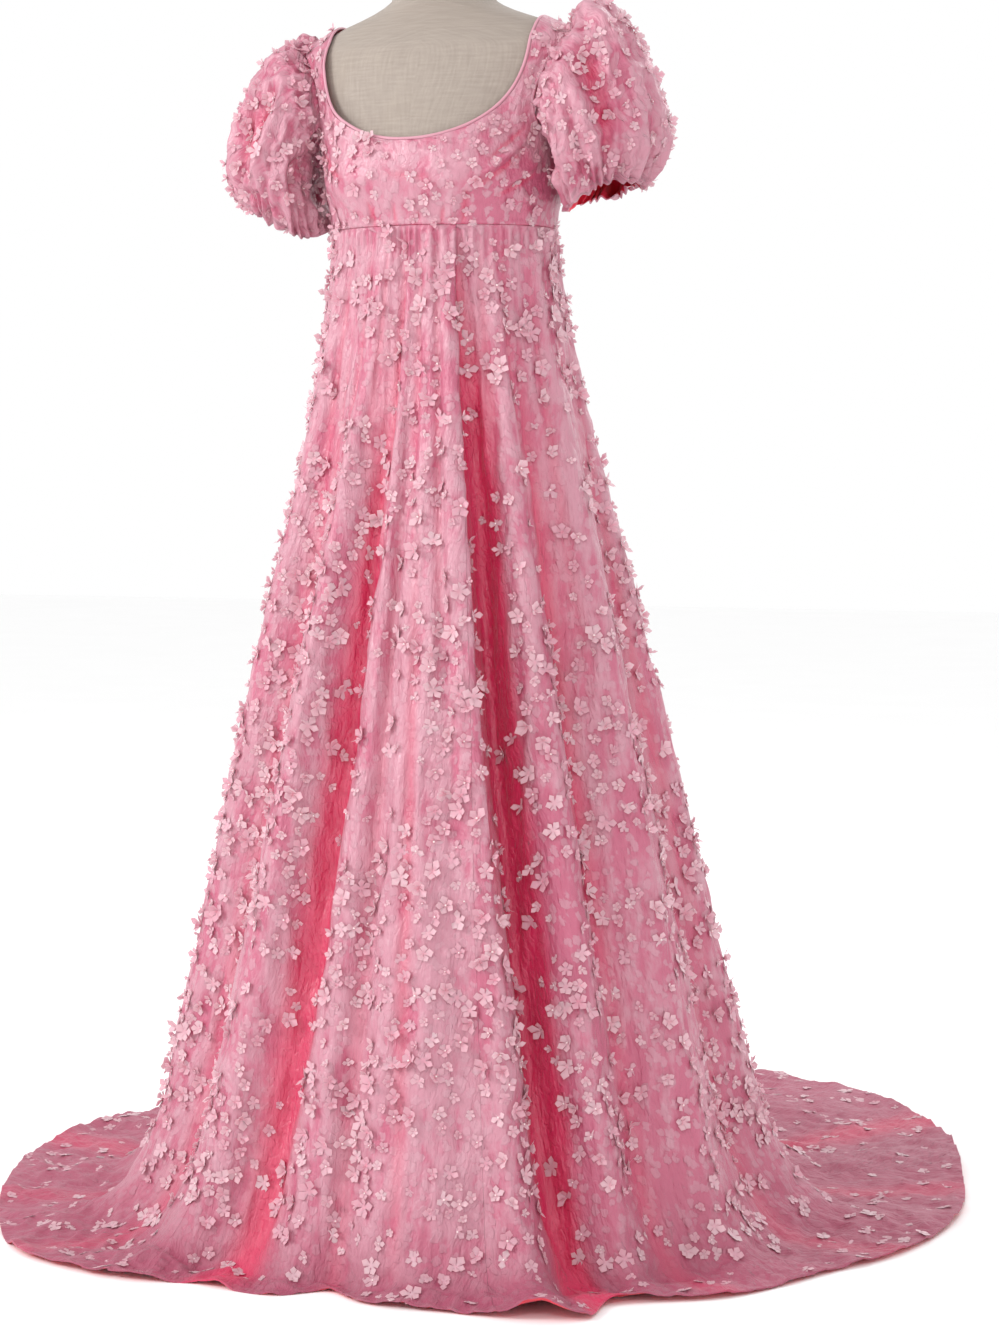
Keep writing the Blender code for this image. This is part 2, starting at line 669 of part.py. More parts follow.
def make_sleeve(name, side):
    sheet = Sheet()
    angle, run = np.meshgrid(
        np.arange(SLEEVE_COLUMNS) * 360.0 / SLEEVE_COLUMNS,
        np.linspace(0.0, 1.0, SLEEVE_ROWS + 1),
    )

    def surface(u, v):
        return sleeve_point(u, v, side)

    normal = normals_of(surface, angle, np.clip(run, SMALL_STEP, 1.0 - SMALL_STEP))
    middle = np.array([side * SLEEVE_HEM_CENTRE[0], 0.0, (SLEEVE_HEM_CENTRE[2] + ARMHOLE_TOP_Z) / 2.0])
    outward = np.sum(normal * (surface(angle, run) - middle), axis=-1).sum()
    normal = normal * np.sign(outward)
    point = surface(angle, run)
    relief = sleeve_relief(angle, run, side)
    outer = point + normal * relief[..., None]
    inner = outer - normal * CLOTH
    grid = sheet.add_points(outer, inner)
    sheet.add_cells(grid, closed=True)
    return sheet.build(name, "satin")


def skirt_runs():
    fall = np.linspace(0.0, FALL_END, FALL_ROWS + 1)
    turn = np.linspace(FALL_END, TURN_END, TURN_ROWS + 1)[1:]
    floor = np.linspace(TURN_END, 1.0, FLOOR_ROWS + 1)[1:]
    return np.concatenate([fall, turn, floor])


def make_gore(name, first, last, columns, order):
    sheet = Sheet()
    runs = skirt_runs()
    angles = np.linspace(first, last, columns + 1)
    angle, run = np.meshgrid(angles, runs)
    normal = normals_of(skirt_point, angle, np.clip(run, SMALL_STEP, 1.0 - SMALL_STEP))
    outer = skirt_point(angle, run)
    outer[0, :, 2] -= SEAM_GAP / 2.0
    inner = outer - normal * CLOTH
    inner[0, :, 2] = outer[0, :, 2]
    inner[..., 2] = np.maximum(inner[..., 2], 0.0)
    for skin in (outer, inner):
        skin[:, 0] += unit(skin[:, 1] - skin[:, 0]) * SEAM_GAP / 2.0
        skin[:, -1] += unit(skin[:, -2] - skin[:, -1]) * SEAM_GAP / 2.0
    grid = sheet.add_points(outer, inner)
    sheet.add_cells(grid)
    add_flowers(sheet, grid, outer, normal, order)
    return sheet.build(name, "satin")


def add_flowers(sheet, grid, outer, normal, order):
    """Raised flowers in rows over a gore, each second row set half a step to the side."""
    rows, columns = grid.shape
    for i in range(1, rows - 3):
        width = np.linalg.norm(outer[i, 1:] - outer[i, :-1], axis=-1).mean()
        span = max(1, math.ceil(2.0 * FLOWER_RADIUS / FLOWER_FILL / width))
        pitch = max(span + 1, round(FLOWER_PITCH / width))
        j = 1 + (i * 2 + order) % (pitch - 1)
        while j + span < columns - 1:
            place_flower(sheet, grid, outer, normal, i, j, span)
            j += pitch


def place_flower(sheet, grid, outer, normal, i, j, span):
    """A five-sided cup in the middle of a patch that is one row high and span columns wide."""
    low = outer[i:i + 2, j:j + span + 1]
    width = np.linalg.norm(np.diff(low, axis=1), axis=-1).mean()
    height = np.linalg.norm(low[1] - low[0], axis=-1).mean()
    radius = min(FLOWER_RADIUS, FLOWER_FILL * span * width / 2.0, FLOWER_FILL * height / 2.0)

    def on_patch(u, v, rise):
        k = min(int(u), span - 1)
        point = np.zeros(3)
        out = np.zeros(3)
        for du, dv in ((0, 0), (0, 1), (1, 0), (1, 1)):
            weight = abs(1 - du - (u - k)) * abs(1 - dv - v)
            point = point + weight * outer[i + dv, j + k + du]
            out = out + weight * normal[i + dv, j + k + du]
        return (point + unit(out) * rise).tolist()

    first_petal = FLOWER_TURN * (i + 2 * j) % (360.0 / FLOWER_PETALS)
    turn = np.radians(first_petal + np.arange(FLOWER_PETALS) * 360.0 / FLOWER_PETALS - 180.0)
    middle_u = span / 2.0
    ring = [
        on_patch(middle_u + radius * math.cos(a) / width, 0.5 + radius * math.sin(a) / height, FLOWER_RISE)
        for a in turn
    ]
    middle = on_patch(middle_u, 0.5, FLOWER_CUP)
    cells = []
    for k in range(j, j + span):
        cells.append((grid[i, k], grid[i, k + 1], grid[i + 1, k + 1], grid[i + 1, k]))
    places = [(0, k) for k in range(span + 1)] + [(1, span - k) for k in range(span + 1)]
    corners = [grid[i + row, j + column] for row, column in places]
    bearings = [
        math.atan2((row - 0.5) * height, (column - middle_u) * width) for row, column in places
    ]
    sheet.add_flower(cells, corners, bearings, ring, turn.tolist(), middle)


def make_form():
    """The form: rings from its flat lower end to the flat top of its neck."""
    rings = len(FORM_RING_HEIGHTS)
    angle = np.arange(FORM_COLUMNS) * 360.0 / FORM_COLUMNS
    verts = []
    for index, z in enumerate(FORM_RING_HEIGHTS):
        ring = body_point(angle, np.full_like(angle, z))
        if index in (0, rings - 1):
            ring[:, :2] *= 1.0 - FORM_END_BEVEL / np.linalg.norm(ring[:, :2], axis=1, keepdims=True)
        verts.extend(ring.tolist())
    faces = []
    for i in range(rings - 1):
        for j in range(FORM_COLUMNS):
            k = (j + 1) % FORM_COLUMNS
            a = i * FORM_COLUMNS
            b = a + FORM_COLUMNS
            faces.append((a + j, a + k, b + k, b + j))
    last = (rings - 1) * FORM_COLUMNS
    faces.append(tuple(range(FORM_COLUMNS))[::-1])
    faces.append(tuple(range(last, last + FORM_COLUMNS)))
    return new_object("form_torso", verts, faces, "linen")


def make_turned(name, profile, finish):
    """A closed turned solid from a profile of radius and height, both ends flat."""
    turn = np.arange(ROUND_SEGMENTS) * 2.0 * math.pi / ROUND_SEGMENTS
    verts = []
    for radius, z in profile:
        for a in turn:
            verts.append((radius * math.cos(a), radius * math.sin(a), z))
    faces = []
    for i in range(len(profile) - 1):
        for j in range(ROUND_SEGMENTS):
            k = (j + 1) % ROUND_SEGMENTS
            a = i * ROUND_SEGMENTS
            b = a + ROUND_SEGMENTS
            faces.append((a + j, a + k, b + k, b + j))
    last = (len(profile) - 1) * ROUND_SEGMENTS
    faces.append(tuple(range(ROUND_SEGMENTS))[::-1])
    faces.append(tuple(range(last, last + ROUND_SEGMENTS)))
    return new_object(name, verts, faces, finish)


def make_stand():
    top = STAND_HEIGHT
    make_turned("stand_base", (
        (STAND_RADIUS, 0.0),
        (STAND_RADIUS, top - STAND_BEVEL),
        (STAND_RADIUS - STAND_BEVEL, top),
    ), "steel")
    form_bottom = FORM_SECTIONS[0][0]
    low = top + SEAM_GAP
    high = form_bottom - SEAM_GAP
    make_turned("stand_pole", (
        (POLE_FLANGE_RADIUS, low),
        (POLE_FLANGE_RADIUS, low + POLE_FLANGE_HEIGHT),
        (POLE_RADIUS, low + POLE_FLANGE_HEIGHT + POLE_FLANGE_SLOPE),
        (POLE_RADIUS, high - POLE_FLANGE_HEIGHT - POLE_FLANGE_SLOPE),
        (POLE_FLANGE_RADIUS, high - POLE_FLANGE_HEIGHT),
        (POLE_FLANGE_RADIUS, high),
    ), "steel")


def main():
    for thing in list(bpy.data.objects):
        bpy.data.objects.remove(thing, do_unlink=True)
    make_form()
    make_stand()
    make_bodice("bodice_front", -1, NECK_FRONT_Z, *FRONT_ROWS)
    make_bodice("bodice_back", 1, NECK_BACK_Z, *BACK_ROWS)
    make_neck_binding()
    make_sleeve("sleeve_left", 1.0)
    make_sleeve("sleeve_right", -1.0)
    for order, (name, first, last, columns) in enumerate(GORES):
        make_gore(name, first, last, columns, order)


main()
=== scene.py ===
# %% [markdown]
# An empire-line gown with a rounded train, as it stands on a linen dress form. The solids of
# the gown already stand in the frame: here they get thin cloth shells, creases, a satin finish
# and about four thousand sewn-on cloth flowers. A cloth simulation could drape the gown, but
# the shells have to follow the solids, so every fold here is a formula.

# %% The frame
import json
import math

import bmesh
import bpy
import numpy as np
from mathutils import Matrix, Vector

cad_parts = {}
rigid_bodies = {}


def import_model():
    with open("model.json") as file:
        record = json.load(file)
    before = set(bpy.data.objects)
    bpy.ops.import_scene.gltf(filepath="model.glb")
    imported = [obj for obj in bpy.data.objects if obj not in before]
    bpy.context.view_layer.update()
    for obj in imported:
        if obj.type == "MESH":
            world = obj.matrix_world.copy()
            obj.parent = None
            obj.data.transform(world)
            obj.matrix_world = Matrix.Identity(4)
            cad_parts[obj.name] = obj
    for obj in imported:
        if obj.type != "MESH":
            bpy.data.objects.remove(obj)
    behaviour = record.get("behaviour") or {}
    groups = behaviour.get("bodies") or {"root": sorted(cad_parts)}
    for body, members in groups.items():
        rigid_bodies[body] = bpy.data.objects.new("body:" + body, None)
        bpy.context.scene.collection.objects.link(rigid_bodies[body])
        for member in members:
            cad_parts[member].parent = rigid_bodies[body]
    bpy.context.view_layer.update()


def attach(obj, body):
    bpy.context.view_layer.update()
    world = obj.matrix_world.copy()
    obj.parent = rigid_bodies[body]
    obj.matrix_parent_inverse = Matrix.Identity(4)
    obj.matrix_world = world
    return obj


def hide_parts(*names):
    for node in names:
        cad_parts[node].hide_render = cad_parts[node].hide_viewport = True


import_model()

# %% [markdown]
# The camera stands three and a half metres away at chest height, a little to the wearer's left.
# A long lens from there gives the gown the same proportions as in the photograph. The turn and
# the tilt are worked out from the pixel where the gown's axis meets the horizon, so the frame
# needs no lens shift.

# %% Camera
PHOTO_WIDTH = 999
PHOTO_HEIGHT = 1333
CAMERA_AZIMUTH = math.radians(23.0)
CAMERA_DISTANCE = 3.50
CAMERA_HEIGHT = 0.90
FOCAL_PIXELS = 2933.0
AXIS_PIXEL_X = 445.0
HORIZON_PIXEL_Y = 469.0
SENSOR = 36.0


def make_camera():
    data = bpy.data.cameras.new("camera")
    data.sensor_width = SENSOR
    data.lens = FOCAL_PIXELS * SENSOR / PHOTO_HEIGHT
    yaw = math.atan((PHOTO_WIDTH / 2 - AXIS_PIXEL_X) / FOCAL_PIXELS)
    pitch = math.atan((PHOTO_HEIGHT / 2 - HORIZON_PIXEL_Y) / FOCAL_PIXELS)
    a = CAMERA_AZIMUTH
    level = Vector((-math.sin(a), math.cos(a), 0)) * math.cos(yaw)
    level += Vector((math.cos(a), math.sin(a), 0)) * math.sin(yaw)
    look = level * math.cos(pitch) - Vector((0, 0, 1)) * math.sin(pitch)
    camera = bpy.data.objects.new("camera", data)
    camera.location = (CAMERA_DISTANCE * math.sin(a), -CAMERA_DISTANCE * math.cos(a), CAMERA_HEIGHT)
    camera.rotation_mode = "QUATERNION"
    camera.rotation_quaternion = look.to_track_quat("-Z", "Y")
    bpy.context.scene.collection.objects.link(camera)
    bpy.context.scene.camera = camera
    return camera


print("lens:", round(make_camera().data.lens, 1), "mm")

# %% [markdown]
# Soft studio light: one large lamp high at the wearer's right front, which leaves the folds on
# the other side in half shade, a small one over the camera that draws bright streaks down the
# satin, and one at the back. The world is plain white, and so is the floor. A picture of a
# studio could light the gown too, but three lamps are easier to aim. The Standard view keeps
# the pinks as strong as they are, where the default view would wash them out.

# %% Light
LAMPS = (
    # name, place, aim, size, watts
    ("key", (-3.5, -2.9, 2.9), (0.0, 0.0, 0.70), 1.5, 117.0),
    ("front", (1.2, -3.7, 2.9), (0.0, 0.0, 0.7), 0.5, 24.0),
    ("back", (0.6, 3.4, 2.8), (0.0, 0.0, 0.8), 2.2, 40.0),
)
WORLD_GREY = 1.0
WORLD_STRENGTH = 1.0


def make_lights():
    for name, place, aim, size, watts in LAMPS:
        data = bpy.data.lights.new(name, "AREA")
        data.size = size
        data.energy = watts
        lamp = bpy.data.objects.new(name, data)
        lamp.location = place
        lamp.rotation_mode = "QUATERNION"
        lamp.rotation_quaternion = (Vector(aim) - Vector(place)).to_track_quat("-Z", "Y")
        bpy.context.scene.collection.objects.link(lamp)
    world = bpy.data.worlds.new("studio")
    world.use_nodes = True
    sky = world.node_tree.nodes["Background"]
    sky.inputs["Color"].default_value = (WORLD_GREY, WORLD_GREY, WORLD_GREY, 1.0)
    sky.inputs["Strength"].default_value = WORLD_STRENGTH
    bpy.context.scene.world = world
    bpy.context.scene.view_settings.view_transform = "Standard"


make_lights()
print("lamps:", len(LAMPS))

# %% [markdown]
# Finishes are node trees. Two small classes keep them short: Number wraps a socket, so that
# plain arithmetic on it adds Math nodes, and Finish makes a material and any other node.
# Nodes could be added and linked one by one, but a formula is easier to read and to change.

# %% Writing shader maths
class Number:
    """A number that changes over a surface."""

    def __init__(self, finish, socket):
        self.finish = finish
        self.socket = socket

    def math(self, operation, first, second=0.0):
        node = self.finish.node("ShaderNodeMath", {"operation": operation}, {0: first, 1: second})
        return Number(self.finish, node.outputs[0])

    def __add__(self, other):
        return self.math("ADD", self, other)

    def __radd__(self, other):
        return self.math("ADD", other, self)

    def __sub__(self, other):
        return self.math("SUBTRACT", self, other)

    def __rsub__(self, other):
        return self.math("SUBTRACT", other, self)

    def __mul__(self, other):
        return self.math("MULTIPLY", self, other)

    def __rmul__(self, other):
        return self.math("MULTIPLY", other, self)

    def sine(self):
        return self.math("SINE", self)


class Finish:
    """A material with one Principled shader, and what feeds it."""

    def __init__(self, name, **constants):
        self.material = bpy.data.materials.new(name)
        self.material.use_nodes = True
        self.tree = self.material.node_tree
        self.shader = self.tree.nodes["Principled BSDF"]
        for key, value in constants.items():
            self.shader.inputs[self.socket_name(key)].default_value = value
        self.coordinates = self.tree.nodes.new("ShaderNodeTexCoord")

    @staticmethod
    def socket_name(key):
        return key.replace("_", " ").title().replace("Ior", "IOR")

    def node(self, kind, settings=None, values=None):
        node = self.tree.nodes.new(kind)
        for key, value in (settings or {}).items():
            setattr(node, key, value)
        for key, value in (values or {}).items():
            self.feed(node.inputs[key], value)
        return node

    def feed(self, socket, value):
        if isinstance(value, Number):
            value = value.socket
        if isinstance(value, bpy.types.NodeSocket):
            self.tree.links.new(value, socket)
        else:
            socket.default_value = value

    def number(self, node, output=0):
        return Number(self, node.outputs[output])

    def place(self, stretch, source="Object"):
        """Object or UV coordinates, each multiplied by its own number."""
        node = self.node("ShaderNodeVectorMath", {"operation": "MULTIPLY"},
                         {0: self.coordinates.outputs[source], 1: stretch})
        return node.outputs[0]

    def noise(self, where, scale=1.0, detail=3.0, roughness=0.55, distortion=0.0):
        node = self.node("ShaderNodeTexNoise", None, {
            "Vector": where, "Scale": scale, "Detail": detail,
            "Roughness": roughness, "Distortion": distortion})
        return self.number(node)

    def cells(self, where, scale=1.0, feature="F1"):
        node = self.node("ShaderNodeTexVoronoi", {"feature": feature}, {"Vector": where, "Scale": scale})
        return self.number(node)

    def shaken(self, where, scale, amount):
        """The same coordinates, moved about by a noise."""
        noise = self.node("ShaderNodeTexNoise", None, {"Vector": where, "Scale": scale, "Detail": 2.0})
        return self.node("ShaderNodeVectorMath", {"operation": "MULTIPLY_ADD"},
                         {0: noise.outputs["Color"], 1: (amount, amount, 0.0), 2: where}).outputs[0]

    def attribute(self, name):
        return self.number(self.node("ShaderNodeAttribute", {"attribute_name": name}), "Fac")

    def between(self, value, low, high):
        """0 where the value is at low or under it, 1 at high or over it, and smooth between."""
        node = self.node("ShaderNodeMapRange", {"interpolation_type": "SMOOTHSTEP"},
                         {0: value, 1: low, 2: high, 3: 0.0, 4: 1.0})
        return self.number(node)

    def mix(self, factor, first, second):
        node = self.node("ShaderNodeMix", {"data_type": "RGBA"}, {0: factor, 6: first, 7: second})
        return node.outputs[2]

    def bump(self, height, distance, strength=1.0, after=None):
        values = {"Height": height, "Distance": distance, "Strength": strength}
        if after is not None:
            values["Normal"] = after
        return self.node("ShaderNodeBump", None, values).outputs[0]

    def done(self, **inputs):
        for key, value in inputs.items():
            self.feed(self.shader.inputs[self.socket_name(key)], value)
        print("finish:", self.material.name, len(self.tree.nodes), "nodes")
        return self.material


def rgb(red, green, blue):
    return (red, green, blue, 1.0)


print("shader maths ready")

# %% [markdown]
# The outer cloth is satin under a crinkled net. Light pink patches and rosy streaks follow the
# fall of the cloth, so they read the UV map, which is in metres across and down each piece.
# Between the crinkles and in the folds the satin is painted a deep rose, a painted shade for the
# light that bounces from pink to pink there: the attributes "low" and "valley" say how deep a
# point lies. "low" also carries painted shade on the side at the wearer's left and beside the
# left armhole, and painted light on the front panel. "laid" says where the train lies on the
# floor, where the cloth is painted darker, a painted shade. Small pale patches are petals that
# lie pressed against the net. They, the net's own crinkles and the satin's fine threads are
# bump, since they are a millimetre or two high at most. A picture of cloth could give all that
# too, but it would stretch in the folds and repeat along the train.

# %% Satin
SATIN_LIGHT = rgb(0.54, 0.215, 0.285)
SATIN_ROSE_AND_SHADE = rgb(0.50, 0.080, 0.165)
SATIN_DEEP_SHADE = rgb(0.60, 0.008, 0.080)
SATIN_PRESSED = rgb(0.56, 0.270, 0.335)
SATIN_LAID_SHADE = rgb(0.29, 0.030, 0.080)
SATIN_SHEEN = rgb(1.0, 0.78, 0.84)
SATIN_PATTERNS = (
    # name, waves a metre across, waves a metre down, detail, roughness, distortion
    ("long streaks", 30.0, 3.4, 3.0, 0.55, 0.3),
    ("streaks", 95.0, 17.0, 4.0, 0.55, 0.6),
    ("patches", 62.0, 48.0, 3.0, 0.65, 0.0),
    ("fine", 170.0, 60.0, 3.0, 0.55, 0.0),
    ("crinkle", 210.0, 75.0, 5.0, 0.62, 0.8),
    ("threads", 2400.0, 500.0, 1.0, 0.55, 0.0),
)
SHADE_IN_LOW = 0.40                  # painted shade: how much rosier the satin is painted where it lies low
ROSY_OFFSET = 0.22
ROSY_SPAN = (0.38, 0.66)
ROSY_MOST = 0.90
LAID_SHADE_MOST = 0.75                    # the most of the painted shades, on the floor and in the folds, that is mixed in
VALLEY_SHADE_MOST = 0.95
VALLEY_SPAN = (0.0, 0.8)
WRINKLES_ACROSS = 75.0
NET_STRETCH = (150.0, 105.0, 1.0)
PETALS_A_METRE = 82.0               # the pressed petals, which are wider than they are high
PETAL_STRETCH = (1.0, 0.85, 1.0)
PETAL_EDGE = (0.46, 0.34)           # distance from a petal's middle where it ends and is full


def make_satin(name, streak, patch, crinkled, fall, pale):
    """Higher streak, patch, crinkled and pale show more. Fall is low where wrinkles are long."""
    finish = Finish(name, sheen_weight=0.22, sheen_roughness=0.35, sheen_tint=SATIN_SHEEN,
                    specular_ior_level=1.0)
    pattern = {}
    for key, across, down, detail, roughness, distortion in SATIN_PATTERNS:
        where = finish.place((across, down, 1.0), "UV")
        pattern[key] = finish.noise(where, 1.0, detail, roughness, distortion)
    wrinkle = finish.noise(finish.place((WRINKLES_ACROSS, fall, 1.0), "UV"), detail=3.0, distortion=0.5)
    net = finish.cells(finish.place(NET_STRETCH, "UV"), feature="SMOOTH_F1")
    where = finish.shaken(finish.place(PETAL_STRETCH, "UV"), 150.0, 0.010)
    pressed = finish.between(finish.cells(where, PETALS_A_METRE), *PETAL_EDGE)
    rosy_and_shade = pattern["long streaks"] * (0.20 * streak) + pattern["streaks"] * streak
    rosy_and_shade = rosy_and_shade + pattern["patches"] * patch + 0.24 * pattern["fine"]
    # The streaks and patches are the cloth's own; the rosier colour where "low" is high is painted shade.
    rosy_and_shade = rosy_and_shade + SHADE_IN_LOW * finish.attribute("low") - ROSY_OFFSET
    rosy_and_shade = finish.between(rosy_and_shade, *ROSY_SPAN) * ROSY_MOST
    valley = finish.between(finish.attribute("valley"), *VALLEY_SPAN)
    colour = finish.mix(rosy_and_shade, SATIN_LIGHT, SATIN_ROSE_AND_SHADE)
    colour = finish.mix(pressed * pale, colour, SATIN_PRESSED)
    # Painted shade: the train that lies on the floor is painted darker, and the folds a deep rose.
    laid = finish.attribute("laid")
    colour = finish.mix(laid * LAID_SHADE_MOST, colour, SATIN_LAID_SHADE)
    colour = finish.mix(valley * VALLEY_SHADE_MOST, colour, SATIN_DEEP_SHADE)
    bumps = (
        # height, metres, strength
        (pattern["threads"], 0.00008, 0.5),
        (wrinkle, 0.0058 * crinkled, 0.7),
        (pattern["crinkle"], 0.0024 * crinkled, 0.8),
        (net, 0.0011, 0.5),
        (pressed, 0.0007, 0.7),
    )
    normal = None
    for height, metres, strength in bumps:
        normal = finish.bump(height, metres, strength, normal)
    roughness = 0.24 + 0.18 * pattern["crinkle"] + 0.12 * pressed + 0.30 * laid
    return finish.done(base_color=colour, roughness=roughness, normal=normal)


satin = make_satin("pink_satin", 0.42, 0.36, 1.0, 14.0, 0.60)
bodice_satin = make_satin("bodice_satin", 0.22, 0.56, 0.8, 48.0, 0.75)

# %% [markdown]
# The wrong side of the cloth shows in the sleeves, at the neck and under the turned-up hem. It
# is a plain lining in a deep rose, with a faint weave. It could share the satin's patterns, but
# only strips of it show, so a few nodes are enough. The neck's edge is a smooth satin.

# %% Lining and edge
def make_lining():
    finish = Finish("rose_lining", sheen_weight=0.15)
    weave = finish.noise(finish.place((900.0, 900.0, 900.0)), detail=2.0)
    soft = finish.noise(finish.place((22.0, 22.0, 9.0)), detail=3.0)
    colour = finish.mix(soft, rgb(0.70, 0.004, 0.035), rgb(0.80, 0.012, 0.06))
    return finish.done(base_color=colour, roughness=0.50 + 0.2 * soft,
                       normal=finish.bump(weave, 0.0002, 0.5))


def make_edge_satin():
    finish = Finish("edge_satin", sheen_weight=0.2)
    soft = finish.noise(finish.place((70.0, 70.0, 70.0)), detail=3.0)
    thread = finish.noise(finish.place((1100.0, 1100.0, 1100.0)), detail=1.0)
    colour = finish.mix(soft, rgb(0.60, 0.30, 0.37), rgb(0.58, 0.24, 0.31))
    return finish.done(base_color=colour, roughness=0.34 + 0.2 * soft,
                       normal=finish.bump(thread, 0.00012, 0.5))


lining = make_lining()
edge_satin = make_edge_satin()

# %% [markdown]
# The cloth flowers are paler than the satin and a little matt. Each flower carries its own
# tint, a number from 0 to 1, and its petals are deeper pink near the middle. A finish for each
# colour would do as well, but with the tint as an attribute one finish serves them all. The
# pearls are smooth and glossy.

# %% Petals and pearls
def make_petal_finish():
    finish = Finish("petal_cloth", sheen_weight=0.35, sheen_roughness=0.4, subsurface_weight=0.35,
                    subsurface_radius=(1.0, 0.5, 0.55), subsurface_scale=0.003)
    tint = finish.attribute("tint")
    heart = finish.attribute("heart")
    cloud = finish.noise(finish.place((160.0, 160.0, 160.0)), detail=2.0)
    weave = finish.noise(finish.place((1500.0, 1500.0, 1500.0)), detail=1.0)
    colour = finish.mix(finish.between(tint + 0.3 * cloud, 0.2, 1.1), rgb(0.76, 0.46, 0.51),
                        rgb(0.69, 0.33, 0.40))
    colour = finish.mix(heart * 0.35, colour, rgb(0.58, 0.19, 0.27))
    return finish.done(base_color=colour, roughness=0.42 + 0.2 * cloud,
                       normal=finish.bump(weave, 0.0002, 0.6))


def make_pearl_finish():
    finish = Finish("pearl", coat_roughness=0.12)
    cloud = finish.noise(finish.place((300.0, 300.0, 300.0)), detail=2.0)
    colour = finish.mix(cloud, rgb(0.86, 0.62, 0.64), rgb(0.92, 0.80, 0.78))
    return finish.done(base_color=colour, roughness=0.16 + 0.1 * cloud, coat_weight=0.3 + 0.3 * cloud)


petal_cloth = make_petal_finish()
pearl = make_pearl_finish()

# %% [markdown]
# The form is covered in a coarse beige-grey linen: threads of uneven weight both ways, with
# slubs and a slight yellowing. Real threads a millimetre wide would take far too many faces,
# so two crossing sine waves draw them. The stand is plain brushed steel.

# %% Linen and steel
THREAD_TURNS = 2.0 * math.pi / 0.0011


def make_linen():
    finish = Finish("beige_linen", sheen_weight=0.2)
    wobble = finish.noise(finish.place((60.0, 60.0, 1.0), "UV"), detail=3.0) * 5.0
    threads = finish.place((THREAD_TURNS, THREAD_TURNS, 1.0), "UV")
    parts = finish.node("ShaderNodeSeparateXYZ", None, {0: threads})
    across = (finish.number(parts, 0) + wobble).sine()
    along = (finish.number(parts, 1) + wobble).sine()
    slub = finish.noise(finish.place((300.0, 30.0, 1.0), "UV"), detail=3.0)
    slub_across = finish.noise(finish.place((30.0, 300.0, 1.0), "UV"), detail=3.0)
    stain = finish.noise(finish.place((7.0, 7.0, 7.0)), detail=4.0)
    weave = across * along * 0.25 + 0.5 + 0.5 * (slub + slub_across - 1.0)
    colour = finish.mix(finish.between(weave, 0.25, 0.8), rgb(0.29, 0.240, 0.205), rgb(0.42, 0.355, 0.305))
    colour = finish.mix(finish.between(stain, 0.45, 0.75) * 0.35, colour, rgb(0.39, 0.32, 0.25))
    return finish.done(base_color=colour, roughness=0.84 + 0.1 * stain,
                       normal=finish.bump(weave, 0.0004, 0.6))


def make_steel():
    finish = Finish("brushed_steel", metallic=1.0)
    grain = finish.noise(finish.place((40.0, 40.0, 1200.0)), detail=2.0)
    wear = finish.noise(finish.place((14.0, 14.0, 14.0)), detail=4.0)
    colour = finish.mix(wear, rgb(0.40, 0.40, 0.41), rgb(0.52, 0.51, 0.50))
    return finish.done(base_color=colour, roughness=0.26 + 0.16 * grain + 0.1 * wear,
                       normal=finish.bump(grain, 0.0001, 0.4))


linen = make_linen()
steel = make_steel()

# %% [markdown]
# The shape of the gown is a set of formulas with named sizes in metres. They are the ones that
# made the solids, so every shell lies on its solid. Points could be read from the solids
# instead, but a formula gives as fine a grid as the creases need. First come the sizes that all
# the pieces share: the cloth, the seams and the heights of the main lines.

# %% Sizes
# Cloth and seams
CLOTH = 0.002            # thickness of the cloth wall
SEAM_GAP = 0.0003        # space between two pieces that are sewn together
EASE = 0.0030            # space between the form and the inside of the bodice

# Heights of the main lines
WAIST_Z = 1.180
UNDERARM_Z = 1.270
ARMHOLE_TOP_Z = 1.405
NECK_FRONT_Z = 1.275
NECK_BACK_Z = 1.330
NECK_SHOULDER_Z = 1.420
NECK_HALF_WIDTH = 0.130

# Small differences that find a surface's direction: along a height or a run, and round
SMALL_STEP = 0.001
ANGLE_STEP = 0.25
print("cloth", 1000.0 * CLOTH, "mm thick, waist seam at", WAIST_Z, "m")

# %% [markdown]
# A few tools do most of the shaping. A smooth step and a bell-shaped hump make every fold and
# crease. A table is read along a curve that never overshoots, so that a dozen sizes stand for a
# rounded body. A surface's normal comes from small differences, because a crease is a move
# along the normal. Blender's curve objects could do the same, but arrays of numbers are quicker
# for half a million points.

# %% Helpers
def smooth_step(x):
    x = np.clip(x, 0.0, 1.0)
    return x * x * (3.0 - 2.0 * x)


def turn_between(angle, centre):
    """The shortest turn from centre to angle, in degrees."""
    return (angle - centre + 180.0) % 360.0 - 180.0


def hump(distance, width):
    return np.exp(-(distance / width) ** 2)


def between(x, span):
    """Rises from 0 to 1 and falls again, over a span of start, rise, end and fall."""
    start, rise, end, fall = span
    return smooth_step((x - start) / rise) * smooth_step((end - x) / fall)


